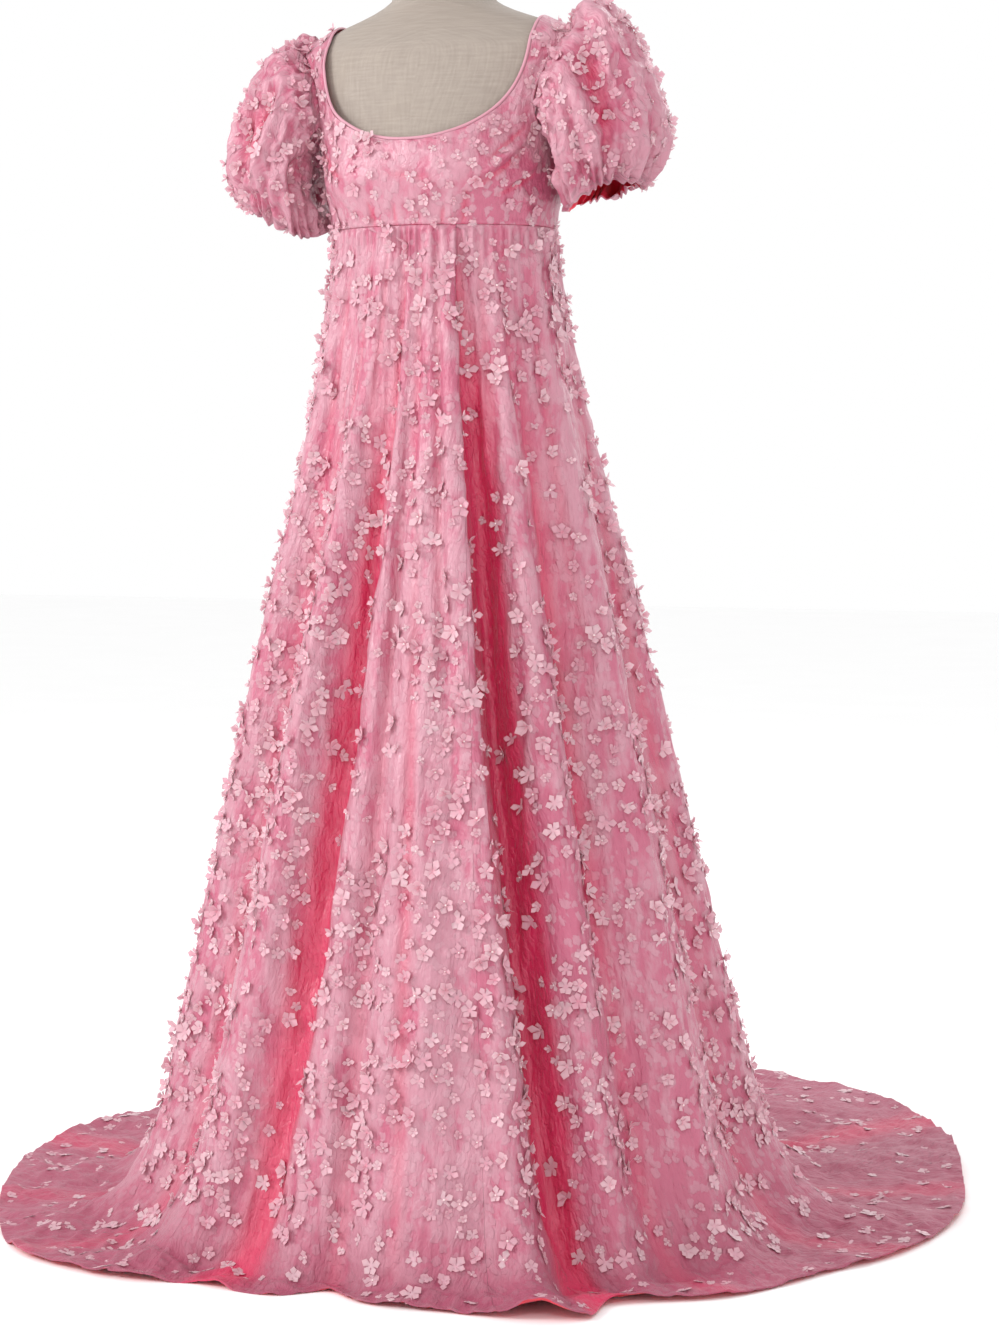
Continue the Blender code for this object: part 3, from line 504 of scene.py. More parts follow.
def read_table(rows, column, at, wrap=None):
    """A smooth curve through one column of a table, by cubic pieces with limited slopes."""
    xs = np.array([row[0] for row in rows], float)
    ys = np.array([row[column] for row in rows], float)
    if wrap is not None:
        xs = np.concatenate([xs[-3:-1] - wrap, xs, xs[1:3] + wrap])
        ys = np.concatenate([ys[-3:-1], ys, ys[1:3]])
    steps = np.diff(xs)
    slopes = np.diff(ys) / steps
    tangents = np.zeros_like(ys)
    same_way = slopes[:-1] * slopes[1:] > 0
    mean = 2.0 * slopes[:-1] * slopes[1:] / np.where(same_way, slopes[:-1] + slopes[1:], 1.0)
    tangents[1:-1] = np.where(same_way, mean, 0.0)
    at = np.clip(at, xs[0], xs[-1])
    i = np.clip(np.searchsorted(xs, at, side="right") - 1, 0, len(steps) - 1)
    u = (at - xs[i]) / steps[i]
    start = ys[i] * (1 + 2 * u) * (1 - u) ** 2 + tangents[i] * steps[i] * u * (1 - u) ** 2
    end = ys[i + 1] * u * u * (3 - 2 * u) + tangents[i + 1] * steps[i] * u * u * (u - 1)
    return start + end


def unit(vectors):
    return vectors / np.maximum(np.linalg.norm(vectors, axis=-1, keepdims=True), 1e-12)


def normals_of(surface, angle, run):
    """Unit normals of a surface of an angle and a run, by small differences."""
    across = surface(angle + ANGLE_STEP, run) - surface(angle - ANGLE_STEP, run)
    down = surface(angle, run + SMALL_STEP) - surface(angle, run - SMALL_STEP)
    return unit(np.cross(down, across))


def uneven_wave(count, turn, shifts):
    """A wave round the body. Each shift of amount, times and start crowds some of its crests."""
    phase = count * turn
    for amount, times, start in shifts:
        phase = phase + amount * np.sin(times * turn + start)
    return np.cos(phase)


print("half way up a smooth step of 0.25:", smooth_step(0.25))

# %% [markdown]
# The form is an ellipse at each height, deeper at the back than at the front, with a little
# rise for the bust. The bodice is worn over it at a given height, and stands off at the neck's
# edge on the wearer's right, where the photograph shows a dark gap. A sculpted mesh could give
# the same body, but with one formula the form, the bodice and the armholes can't drift apart.

# %% Sizes of the form and the neck
# The form: half width, depth in front of the axis and depth behind it, at each height
FORM_SECTIONS = (
    # height, half_width, front, back
    (0.800, 0.148, 0.098, 0.108),
    (0.860, 0.152, 0.102, 0.114),
    (0.940, 0.142, 0.096, 0.104),
    (1.030, 0.124, 0.088, 0.090),
    (1.100, 0.124, 0.090, 0.088),
    (1.180, 0.132, 0.098, 0.094),
    (1.250, 0.142, 0.112, 0.100),
    (1.310, 0.152, 0.100, 0.100),
    (1.360, 0.168, 0.082, 0.090),
    (1.390, 0.174, 0.070, 0.078),
    (1.405, 0.158, 0.062, 0.068),
    (1.420, 0.130, 0.058, 0.062),
    (1.435, 0.088, 0.057, 0.060),
    (1.450, 0.062, 0.057, 0.058),
    (1.480, 0.056, 0.055, 0.056),
    (1.520, 0.056, 0.055, 0.056),
)
BUST_Z = 1.235
BUST_SPREAD_Z = 0.036
BUST_ANGLE = 31.0
BUST_SPREAD_ANGLE = 21.0
BUST_RISE = 0.012

# Neck opening and armholes
NECK_SQUARENESS = (2.6, 2.2)      # powers for height and for width: higher is squarer
ARMHOLE_REACH_ANGLE = 33.0        # how far the armhole bites into the panel
STRAP_CROWDING = 2.2              # higher puts more of the rows of points near the shoulder
NECK_GAPE = 0.008                 # how far the neck edge stands off the form on the right side
NECK_GAPE_ANGLE = -38.0
NECK_GAPE_WIDTH = 13.0
NECK_GAPE_SPAN = (1.262, 0.03, 1.400, 0.03)      # heights: start, rise, end, fall
CHEST_CURVE = 1.6                 # higher lets the chest line drop to the neck later
print("sections of the form:", len(FORM_SECTIONS))

# %% Form and bodice surfaces
def body_point(angle, z):
    """Point on the form. The angle is the ellipse's own, 90 degrees at the sides."""
    width = read_table(FORM_SECTIONS, 1, z)
    front = read_table(FORM_SECTIONS, 2, z)
    back = read_table(FORM_SECTIONS, 3, z)
    sine = np.sin(np.radians(angle))
    cosine = np.cos(np.radians(angle))
    depth = np.where(cosine > 0, front, back)
    bust = hump(turn_between(angle, BUST_ANGLE), BUST_SPREAD_ANGLE)
    bust = bust + hump(turn_between(angle, -BUST_ANGLE), BUST_SPREAD_ANGLE)
    rise = BUST_RISE * bust * hump(z - BUST_Z, BUST_SPREAD_Z)
    x = (width + rise) * sine
    y = -(depth + rise) * cosine
    return np.stack([x, y, z + 0.0 * x], axis=-1)


def body_normal(angle, z):
    return -normals_of(body_point, angle, z)


def worn_point(angle, z, height):
    """Point at a height over the form, with the neck edge standing off on the right side."""
    gape = hump(turn_between(angle, NECK_GAPE_ANGLE), NECK_GAPE_WIDTH) * between(z, NECK_GAPE_SPAN)
    lift = height + NECK_GAPE * gape
    return body_point(angle, z) + body_normal(angle, z) * np.asarray(lift)[..., None]


def neck_line(s, side, bottom_z):
    """The scoop from the middle (s 0) to the shoulder (s 1), as angle and height."""
    turn = s * math.pi / 2.0
    drop = 1.0 - np.cos(turn) ** (2.0 / NECK_SQUARENESS[0])
    across = NECK_HALF_WIDTH * np.sin(turn) ** (2.0 / NECK_SQUARENESS[1])
    z = bottom_z + (NECK_SHOULDER_Z - bottom_z) * drop
    width = read_table(FORM_SECTIONS, 1, z)
    angle = np.degrees(np.arcsin(np.clip(across / width, -1.0, 1.0)))
    return side * angle, z


def armhole_line(s, side):
    """Half of the armhole from the underarm (s 0) to the shoulder (s 1)."""
    turn = s * math.pi
    angle = 90.0 - ARMHOLE_REACH_ANGLE * np.sin(turn)
    z = UNDERARM_Z + (ARMHOLE_TOP_Z - UNDERARM_Z) * (1.0 - np.cos(turn)) / 2.0
    return side * angle, z


print("half width at the bust:", body_point(np.array(90.0), np.array(BUST_Z))[0].round(3))

# %% [markdown]
# The skirt falls from the raised waist seam, opens out, turns on to the floor along a curve
# and runs out into the train. A short table holds its long folds: where each starts and ends
# round the body, how wide and how deep it is. A cloth simulation would find folds of its own,
# while these are the ones that the photograph shows.

# %% Sizes of the skirt
# Skirt: its flare under the waist seam and the outline of its hem on the floor
SKIRT_WAIST = (0.1378, 0.1045, 0.0995)      # half width, front, back
FLARE_START = 0.14                          # how far down the skirt takes to open out
SKIRT_OUTLINE = (
    # angle, flare, hem_radius
    (-180, 0.290, 0.930),
    (-160, 0.280, 0.880),
    (-140, 0.262, 0.790),
    (-123, 0.248, 0.715),
    (-103, 0.230, 0.650),
    (-85, 0.218, 0.580),
    (-67, 0.211, 0.540),
    (-48, 0.214, 0.520),
    (-38, 0.218, 0.490),
    (-28, 0.221, 0.455),
    (-19, 0.225, 0.410),
    (-6, 0.228, 0.400),
    (2, 0.228, 0.362),
    (10, 0.228, 0.395),
    (23, 0.230, 0.420),
    (41, 0.230, 0.475),
    (47, 0.230, 0.433),
    (63, 0.232, 0.480),
    (79, 0.236, 0.505),
    (91, 0.242, 0.552),
    (109, 0.248, 0.615),
    (127, 0.254, 0.676),
    (146, 0.272, 0.800),
    (161, 0.282, 0.890),
    (180, 0.290, 0.930),
)
# The long folds: the angle at the waist and at the hem, half the width and the depth.
# A ridge has a positive depth and a valley a negative one.
SKIRT_FOLDS = (
    # waist_angle, hem_angle, half_width, depth
    (17, 17, 11.0, 0.014),
    (5, 2, 4.2, -0.019),
    (-7, -18, 7.0, -0.032),
    (-17, -31, 8.0, 0.020),
    (-38, -48, 6.0, -0.020),
    (-55, -62, 7.5, 0.019),
    (-70, -76, 5.5, -0.018),
    (-86, -90, 7.0, 0.018),
    (-102, -104, 5.5, -0.022),
    (-118, -117, 7.0, 0.016),
    (-131, -131, 5.0, -0.020),
    (-146, -144, 7.0, 0.018),
    (-159, -157, 5.0, -0.022),
    (-171, -170, 6.5, 0.016),
    (176, 177, 4.5, -0.018),
    (162, 163, 7.0, 0.018),
    (148, 149, 5.5, -0.024),
    (134, 135, 6.5, 0.017),
    (121, 121, 5.0, -0.020),
    (107, 106, 7.0, 0.018),
    (93, 92, 5.0, -0.019),
    (79, 74, 6.5, 0.018),
    (64, 63, 5.0, -0.020),
    (50, 53, 5.0, 0.020),
    (35, 45.5, 5.6, -0.048),
    (26, 37.5, 5.0, 0.026),
)
FOLD_START = 0.02           # how far under the waist seam the folds begin
FOLD_FULL = 0.62            # how far down they reach their full depth
FOLD_EARLY_SHARE = 0.12     # share of the depth that they have at the very top
FOLD_EARLY_REACH = 0.05
FOLD_DRIFT = 0.8            # under 1, a fold moves sideways mostly near the top
GATHERS = 26                # small gathers under the waist seam
GATHER_RISE = 0.0016
GATHER_REACH = 0.055
GATHER_START = 0.02
GATHER_UNEVEN = 0.8
GATHER_UNEVEN_WAVES = 3.0
BREAK_REACH = 0.16          # height over which the cloth turns on to the floor
BREAK_REACH_SHARE = 0.22    # and more where more of it lies on the floor
BREAK_SHARE = 0.45          # share of the cloth on the floor that belongs to the turn
FLOOR_WAVE_SHARE = 0.75     # height of a wave on the floor against the fold that runs into it
FLOOR_WAVE_FADE = 0.75      # share of that height that is gone at the hem
HEM_LIFT = 0.015            # the turned-up arch at the front corner of the hem
HEM_LIFT_ANGLE = 36.0
HEM_LIFT_WIDTH = 4.5
HEM_LIFT_CURVE = 1.5
LEAST_FLOOR_RUN = 0.022

# Where the run down the skirt changes from falling to turning to lying, from 0 to 1
FALL_END = 0.70
TURN_END = 0.86
FALL_CROWDING = 1.2         # over 1, the rows of points lie closer under the waist
print("long folds:", len(SKIRT_FOLDS))

# %% Skirt surface
def waist_radius(angle):
    sine = np.sin(np.radians(angle))
    cosine = np.cos(np.radians(angle))
    depth = np.where(cosine > 0, SKIRT_WAIST[1], SKIRT_WAIST[2])
    return 1.0 / np.sqrt((sine / SKIRT_WAIST[0]) ** 2 + (cosine / depth) ** 2)


def fold_sum(angle, drop):
    """Depth of all the long folds at an angle and a drop under the waist seam."""
    share = np.clip(drop / WAIST_Z, 0.0, 1.0) ** FOLD_DRIFT
    total = 0.0
    for waist_angle, hem_angle, half_width, depth in SKIRT_FOLDS:
        centre = waist_angle + (hem_angle - waist_angle) * share
        total = total + depth * hump(turn_between(angle, centre), half_width)
    early = smooth_step(drop / FOLD_EARLY_REACH)
    grown = smooth_step((drop - FOLD_START) / (FOLD_FULL - FOLD_START))
    return total * (FOLD_EARLY_SHARE * early + (1.0 - FOLD_EARLY_SHARE) * grown)


def gathers(angle, drop):
    uneven = GATHER_UNEVEN * np.sin(np.radians(GATHER_UNEVEN_WAVES * angle))
    wave = np.cos(np.radians(GATHERS * angle) + uneven)
    return GATHER_RISE * wave * np.exp(-drop / GATHER_REACH) * smooth_step(drop / GATHER_START)


def skirt_point(angle, run):
    """Outer surface of the skirt: run goes from 0 at the waist seam to 1 at the hem."""
    wrapped = (angle + 180.0) % 360.0 - 180.0
    flare = read_table(SKIRT_OUTLINE, 1, wrapped, wrap=360.0)
    hem = read_table(SKIRT_OUTLINE, 2, wrapped, wrap=360.0)
    start = waist_radius(angle)

    def falling_radius(drop):
        opened = drop * drop / (drop + FLARE_START)
        return start + flare * opened + fold_sum(angle, drop) + gathers(angle, drop)

    foot = np.minimum(falling_radius(WAIST_Z), hem - LEAST_FLOOR_RUN)
    floor_run = hem - foot
    reach = BREAK_REACH + BREAK_REACH_SHARE * floor_run
    fall = WAIST_Z - reach
    turn_out = BREAK_SHARE * floor_run

    down = np.clip(run / FALL_END, 0.0, 1.0) ** FALL_CROWDING
    turning = np.clip((run - FALL_END) / (TURN_END - FALL_END), 0.0, 1.0)
    lying = np.clip((run - TURN_END) / (1.0 - TURN_END), 0.0, 1.0)

    drop = fall * down
    turned = ((1 - turning) ** 2 * falling_radius(fall) + 2 * turning * (1 - turning) * foot
              + turning ** 2 * (foot + turn_out))
    radius = np.where(run > FALL_END, turned, falling_radius(drop))
    radius = radius + lying * (floor_run - turn_out)
    height = (WAIST_Z - drop) * (run <= FALL_END) + reach * (1 - turning) ** 2 * (run > FALL_END)

    wave = np.maximum(fold_sum(angle, WAIST_Z + 0.0 * angle), 0.0) * FLOOR_WAVE_SHARE
    on_floor = smooth_step(turning) * (1.0 - FLOOR_WAVE_FADE * smooth_step(lying))
    lift = HEM_LIFT * hump(turn_between(angle, HEM_LIFT_ANGLE), HEM_LIFT_WIDTH)
    height = height + wave * on_floor + lift * lying ** HEM_LIFT_CURVE + CLOTH * smooth_step(turning)

    x = radius * np.sin(np.radians(angle))
    y = -radius * np.cos(np.radians(angle))
    return np.stack([x, y, height], axis=-1)


print("end of the train:", skirt_point(np.array(180.0), np.array(1.0)).round(3))

# %% [markdown]
# A sleeve is a ring of curves from the armhole out over the puff and back in to the gathered
# lower edge. A blown-up tube would be quicker, but its head wouldn't follow the armhole.

# %% Sizes of a sleeve
# Puffed sleeve: where its lower edge is, and how the cloth leaves the head and the lower edge
SLEEVE_HEM_CENTRE = (0.200, 0.0, 1.211)
SLEEVE_HEM_RAISED = 0.010         # the left lower edge is this much higher, the right lower
SLEEVE_HEM_HALF_X = 0.043
SLEEVE_HEM_HALF_Y = 0.055
SLEEVE_HEM_TILT = 0.010
SLEEVE_PUFF_Y = (0.040, 0.061)
SLEEVE_SHAPE = (
    # place, head_out, head_up, hem_out, hem_up
    ("top", 0.028, 0.088, 0.082, 0.060),
    ("front", 0.033, 0.0225, 0.007, 0.035),
    ("under", 0.017, -0.010, 0.012, 0.030),
)
SLEEVE_HEAD_RAISED = 0.028        # the left head stands this much higher, the right lower
SLEEVE_GATHERS = 11
SLEEVE_HEAD_RIPPLE = 0.0032
SLEEVE_HEM_RIPPLE = 0.0042
SLEEVE_RIPPLES_AT = (0.14, 0.88)  # along the sleeve, 0 at the head and 1 at the lower edge
SLEEVE_RIPPLE_REACH = 0.16
SLEEVE_RIPPLE_SPAN = (0.04, 0.14, 1.04, 0.10)    # start, rise, end, fall
SLEEVE_RIPPLE_LEAST = 0.35        # weakest ripple round the sleeve against the strongest
SLEEVE_RIPPLE_PHASE = 1.2
SLEEVE_RIPPLE_UNEVEN = 0.6
SLEEVE_FOLD_DEPTH = 0.011
SLEEVE_FOLD_ANGLE = 62.0
SLEEVE_FOLD_WIDTH = 13.0
SLEEVE_FOLD_SPAN = (0.25, 0.20, 0.98, 0.15)      # start, rise, end, fall
SLEEVE_SEAT = 0.0016              # how far the sleeve's head is set inside the armhole
print("gathers round a sleeve:", SLEEVE_GATHERS)

# %% Sleeve surface
def round_fit(top, front, under, turn):
    """A smooth value round the arm that takes the three given values at top, front and under."""
    once = (top - under) / 2.0
    mean = ((top + under) / 2.0 + front) / 2.0
    twice = (top + under) / 2.0 - mean
    return mean + once * np.cos(turn) + twice * np.cos(2.0 * turn)


def sleeve_point(angle, run, side):
    """Outer surface of a sleeve. Angle 0 is the top, 90 the front and 180 the underarm."""
    turn = np.radians(angle)
    wrapped = angle % 360.0
    front_half = wrapped <= 180.0
    s = np.where(front_half, 1.0 - wrapped / 180.0, (wrapped - 180.0) / 180.0)
    hole_angle, hole_z = armhole_line(s, 1.0)
    hole_angle = np.where(front_half, hole_angle, 180.0 - hole_angle)
    edge = worn_point(side * hole_angle, hole_z, EASE + 0.5 * CLOTH)
    edge[..., 0] = np.abs(edge[..., 0])
    inward = np.array([0.0, 0.0, (UNDERARM_Z + ARMHOLE_TOP_Z) / 2.0]) - edge
    inward[..., 0] = 0.0
    head = edge + unit(inward) * SLEEVE_SEAT + np.array([SEAM_GAP, 0.0, 0.0])

    rows = {row[0]: row[1:] for row in SLEEVE_SHAPE}
    fitted = [round_fit(rows["top"][i], rows["front"][i], rows["under"][i], turn) for i in range(4)]
    head_out, head_up, hem_out, hem_up = fitted
    head_up = head_up + side * SLEEVE_HEAD_RAISED * (0.5 + 0.5 * np.cos(turn))
    hem = np.stack([
        SLEEVE_HEM_CENTRE[0] + SLEEVE_HEM_HALF_X * np.cos(turn),
        SLEEVE_HEM_CENTRE[1] - SLEEVE_HEM_HALF_Y * np.sin(turn),
        SLEEVE_HEM_CENTRE[2] + side * SLEEVE_HEM_RAISED + SLEEVE_HEM_TILT * np.cos(turn),
    ], axis=-1)
    lead_out = head + np.stack([head_out, -SLEEVE_PUFF_Y[0] * np.sin(turn), head_up], axis=-1)
    lead_in = hem + np.stack([hem_out, -SLEEVE_PUFF_Y[1] * np.sin(turn), hem_up], axis=-1)
    t = np.asarray(run)[..., None]
    point = ((1 - t) ** 3 * head + 3 * t * (1 - t) ** 2 * lead_out
             + 3 * t * t * (1 - t) * lead_in + t ** 3 * hem)
    point[..., 0] = point[..., 0] * side
    return point


def sleeve_relief(angle, run, side):
    """Gathers at the head and the lower edge, and one deep fold on each sleeve."""
    turn = np.radians(angle)
    wave = uneven_wave(SLEEVE_GATHERS, turn, ((SLEEVE_RIPPLE_UNEVEN, 2.0, side),))
    head = SLEEVE_HEAD_RIPPLE * hump(run - SLEEVE_RIPPLES_AT[0], SLEEVE_RIPPLE_REACH)
    hem = SLEEVE_HEM_RIPPLE * hump(run - SLEEVE_RIPPLES_AT[1], SLEEVE_RIPPLE_REACH)
    strength = np.abs(np.sin(turn / 2.0 + SLEEVE_RIPPLE_PHASE))
    strength = SLEEVE_RIPPLE_LEAST + (1.0 - SLEEVE_RIPPLE_LEAST) * strength
    ripples = wave * strength * (head + hem) * between(run, SLEEVE_RIPPLE_SPAN)
    fold = SLEEVE_FOLD_DEPTH * hump(turn_between(angle, SLEEVE_FOLD_ANGLE), SLEEVE_FOLD_WIDTH)
    return ripples - fold * between(run, SLEEVE_FOLD_SPAN)


puff = sleeve_point(np.arange(0.0, 360.0, 10.0), 0.5, 1.0)
print("the puff reaches out to", puff[:, 0].max().round(3))

# %% [markdown]
# A crumpled cloth has sharp little ridges with soft ground between them. Lattice noise gives
# one random number to each corner of a grid of cubes and blends them; folding it over at its
# middle makes the ridges. It is worked out from the point's place in space, so it runs on
# across every seam. Bump would be cheaper, but it doesn't show in the outline.

# %% Crumple
LATTICE = 256
ROSIEST = 1.3                       # the highest mark of how low a point is, and so how much painted shade it gets
RANDOM_ORDER = np.random.default_rng(11).permutation(LATTICE)
RANDOM_VALUES = np.random.default_rng(12).random(LATTICE)


def lattice_noise(points):
    cell = np.floor(points).astype(int)
    share = points - cell
    share = share * share * (3.0 - 2.0 * share)
    total = 0.0
    for step in np.ndindex(2, 2, 2):
        x, y, z = [(cell[..., k] + step[k]) % LATTICE for k in range(3)]
        value = RANDOM_VALUES[RANDOM_ORDER[(RANDOM_ORDER[(RANDOM_ORDER[x] + y) % LATTICE] + z) % LATTICE]]
        weights = [share[..., k] if step[k] else 1.0 - share[..., k] for k in range(3)]
        total = total + value * weights[0] * weights[1] * weights[2]
    return total


def crumple(points, size):
    """From about -0.5 to 0.5, with sharp ridges. Size is the ridges' spacing along x, y and z."""
    coarse = 1.0 - np.abs(2.0 * lattice_noise(points / np.array(size)) - 1.0)
    fine = 1.0 - np.abs(2.0 * lattice_noise(points / np.array(size) * 2.3 + 31.7) - 1.0)
    return 0.66 * coarse + 0.34 * fine - 0.62


print("noise from", lattice_noise(np.zeros((1, 3)))[0].round(3))

# %% [markdown]
# The main creases are placed one by one, each as a soft ridge or trough with ends that fade. On
# the skirt they start at the gathers and run down with the fall of the cloth. They are long
# and short, wide and narrow, as in the photograph, and the back has similar ones. They could be
# sculpted, but a row of a table is easier to move to where the photograph shows the crease.

# %% Skirt creases
SKIRT_CREASES = (
    # top_angle, low_angle, top_run, low_run, half_width, height
    (-60, -62, 0.02, 0.45, 0.006, -0.004),
    (-52, -54, 0.05, 0.60, 0.009, 0.004),
    (-44, -47, 0.01, 0.30, 0.005, -0.004),
    (-36, -40, 0.10, 0.75, 0.008, -0.005),
    (-27, -30, 0.01, 0.38, 0.005, -0.004),
    (-22, -27, 0.15, 0.80, 0.010, 0.005),
    (-14, -17, 0.00, 0.26, 0.004, -0.004),
    (-9, -14, 0.20, 0.72, 0.007, -0.005),
    (-3, -5, 0.00, 0.34, 0.005, -0.005),
    (1, -1, 0.02, 0.55, 0.006, 0.004),
    (8, 8, 0.00, 0.30, 0.004, -0.004),
    (12, 14, 0.25, 0.85, 0.009, -0.005),
    (18, 22, 0.00, 0.42, 0.005, -0.005),
    (23, 29, 0.00, 0.66, 0.009, 0.007),
    (32, 37, 0.00, 0.62, 0.0065, -0.010),
    (38, 44, 0.08, 0.80, 0.007, -0.005),
    (42, 47, 0.00, 0.36, 0.005, -0.004),
    (47, 50, 0.20, 0.78, 0.009, 0.004),
    (55, 56, 0.00, 0.33, 0.005, -0.004),
    (60, 61, 0.10, 0.62, 0.007, -0.005),
    (70, 69, 0.02, 0.45, 0.006, -0.004),
    (76, 74, 0.15, 0.80, 0.009, 0.004),
    (86, 86, 0.00, 0.50, 0.006, -0.004),
    (98, 98, 0.10, 0.70, 0.008, -0.005),
    (112, 111, 0.01, 0.42, 0.006, -0.004),
    (125, 126, 0.15, 0.82, 0.010, 0.005),
    (141, 142, 0.00, 0.55, 0.007, -0.005),
    (155, 154, 0.08, 0.70, 0.008, -0.005),
    (168, 169, 0.01, 0.40, 0.006, 0.004),
    (182, 183, 0.12, 0.80, 0.010, -0.006),
    (196, 195, 0.00, 0.48, 0.006, -0.004),
    (209, 210, 0.10, 0.75, 0.009, 0.005),
    (224, 223, 0.02, 0.52, 0.007, -0.005),
    (237, 238, 0.15, 0.70, 0.008, -0.005),
    (251, 250, 0.00, 0.44, 0.006, 0.004),
    (262, 263, 0.08, 0.66, 0.007, -0.004),
    (275, 274, 0.02, 0.40, 0.006, -0.004),
    (288, 286, 0.12, 0.72, 0.009, 0.004),
)
SMALL_GATHERS = 66
SMALL_GATHER_SHIFTS = ((2.2, 7.0, 0.0), (1.3, 11.0, 0.0))
SMALL_GATHER_HEIGHT = 0.0015
SMALL_GATHER_REACH = 0.06
SMALL_GATHER_START = 0.012
SKIRT_CRUMPLE = 0.0075
SKIRT_CRUMPLE_SIZE = (0.026, 0.026, 0.085)
GATHERED_CRUMPLE = 0.3              # share of the crumple that is there at the waist seam
CRUMPLE_OPENS = 0.10                # and the run over which it reaches all of it
FLOOR_CRUMPLE = 0.0100
FLOOR_CRUMPLE_SIZE = (0.075, 0.075, 0.075)
FLOOR_CRUMPLE_RAISED = 0.35         # keeps the crumpled train above the floor
VALLEY_FULL = 0.037
VALLEY_CURVE = 1.6                  # over 1, only the deepest folds get the deep red of the painted shade
CREASE_FULL = 0.013
SHADE_IN_CRUMPLE = 1.5                # painted shade: how much rosier the satin is painted in the crumple's hollows
SHADE_IN_GATHERS = 150.0
SHADE_ON_FLOOR = 0.36
# Painted light over the front panel, where the number is negative, and painted shade over the side at the
# wearer's left, which the key lamp reaches less.
SKIRT_LIGHT_AND_SHADE = (
    # angle, half_width, from_run, rosier: painted shade, or painted light where it is negative
    (11.0, 16.0, 0.25, -0.40),
    (76.0, 36.0, 0.40, 0.36),
)
LIGHT_AND_SHADE_FADE = 0.2
CREASE_TOP_WIDTH = 0.7              # width at a crease's top against the one in its row
CREASE_ARCH = 0.6                   # under 1, a crease rises quickly at its ends


def skirt_creases(angle, run, points):
    radius = np.linalg.norm(points[..., :2], axis=-1)
    total = 0.0
    for top_angle, low_angle, top_run, low_run, half_width, height in SKIRT_CREASES:
        share = np.clip((run - top_run) / (low_run - top_run), 0.0, 1.0)
        centre = top_angle + (low_angle - top_angle) * share
        away = np.radians(turn_between(angle, centre)) * radius
        arch = np.sin(np.pi * share) ** CREASE_ARCH
        total = total + height * hump(away, half_width * (CREASE_TOP_WIDTH + share)) * arch
    return total


def skirt_relief(angle, run, points):
    """Height of all creases over the smooth skirt, and how low a point lies in the crumple, with painted
    shade on the floor and at the side and painted light on the front.
    """
    wave = uneven_wave(SMALL_GATHERS, np.radians(angle), SMALL_GATHER_SHIFTS)
    reach = hump(run, SMALL_GATHER_REACH) * smooth_step(run / SMALL_GATHER_START)
    small = SMALL_GATHER_HEIGHT * wave * reach
    opened = GATHERED_CRUMPLE + (1.0 - GATHERED_CRUMPLE) * smooth_step(run / CRUMPLE_OPENS)
    floor = smooth_step((run - FALL_END) / (TURN_END - FALL_END))
    crumpled = crumple(points, SKIRT_CRUMPLE_SIZE)
    total = skirt_creases(angle, run, points) + small + SKIRT_CRUMPLE * crumpled * opened
    total = total + FLOOR_CRUMPLE * (crumple(points, FLOOR_CRUMPLE_SIZE) + FLOOR_CRUMPLE_RAISED) * floor
    # Painted shade: low is higher in the crumple's hollows, between the gathers and on the floor.
    low = 0.5 - SHADE_IN_CRUMPLE * crumpled - SHADE_IN_GATHERS * small + SHADE_ON_FLOOR * floor
    # Painted light on the front and painted shade at the side.
    for centre, half_width, from_run, rosier in SKIRT_LIGHT_AND_SHADE:
        started = smooth_step((run - from_run) / LIGHT_AND_SHADE_FADE)
        low = low + rosier * hump(turn_between(angle, centre), half_width) * started
    return total, np.clip(low, 0.0, ROSIEST)


def skirt_valley(angle, run, points):
    """How deep a point lies in the long folds and the creases, from 0 to 1."""
    drop = WAIST_Z * np.minimum(run / FALL_END, 1.0)
    folds = (np.maximum(-fold_sum(angle, drop), 0.0) / VALLEY_FULL) ** VALLEY_CURVE
    creases = np.maximum(-skirt_creases(angle, run, points), 0.0) / CREASE_FULL
    return np.clip(folds + creases, 0.0, 1.0)


print("creases on the skirt:", len(SKIRT_CREASES))

# %% [markdown]
# The bodice is fitted, so its creases are few: they fan from the armholes to the bust, and
# short ones stand where the gathers of the skirt pull at the waist seam. The seams themselves
# are low ridges, because the cloth is folded under along them. A crease is measured in metres
# from its own line and not in degrees, so that it is as wide at the chest as at the waist.

# %% Bodice creases
BODICE_CREASES = (
    # angle, height, to_angle, to_height, half_width, rise
    (34, 1.224, 56, 1.262, 0.0036, -0.0026),
    (36, 1.236, 57, 1.276, 0.0042, 0.0076),
    (38, 1.250, 56, 1.290, 0.0032, -0.0022),
    (43, 1.214, 66, 1.240, 0.0040, -0.0026),
    (45, 1.224, 68, 1.254, 0.0044, 0.0070),
    (50, 1.202, 72, 1.220, 0.0042, 0.0044),
    (16, 1.180, 18, 1.204, 0.0025, -0.0020),
    (21, 1.180, 22, 1.210, 0.0028, 0.0020),
    (27, 1.180, 29, 1.222, 0.0030, -0.0026),
    (3, 1.180, 5, 1.199, 0.0024, -0.0018),
    (-7, 1.180, -8, 1.206, 0.0026, -0.0018),
    (-19, 1.180, -21, 1.212, 0.0028, -0.0022),
    (-33, 1.236, -55, 1.266, 0.0040, -0.0028),
    (-40, 1.222, -62, 1.244, 0.0042, 0.0022),
    (-12, 1.240, 14, 1.233, 0.0050, -0.0012),
    (125, 1.230, 146, 1.214, 0.0045, -0.0024),
    (150, 1.182, 153, 1.216, 0.0032, -0.0022),
    (172, 1.182, 174, 1.206, 0.0028, 0.0018),
    (196, 1.182, 193, 1.222, 0.0032, -0.0024),
    (232, 1.236, 214, 1.212, 0.0045, -0.0024),
    (118, 1.256, 140, 1.270, 0.0042, 0.0018),
    (242, 1.258, 222, 1.272, 0.0042, 0.0018),
)
BODICE_ROUND = 0.13                 # about the radius, to turn degrees into metres
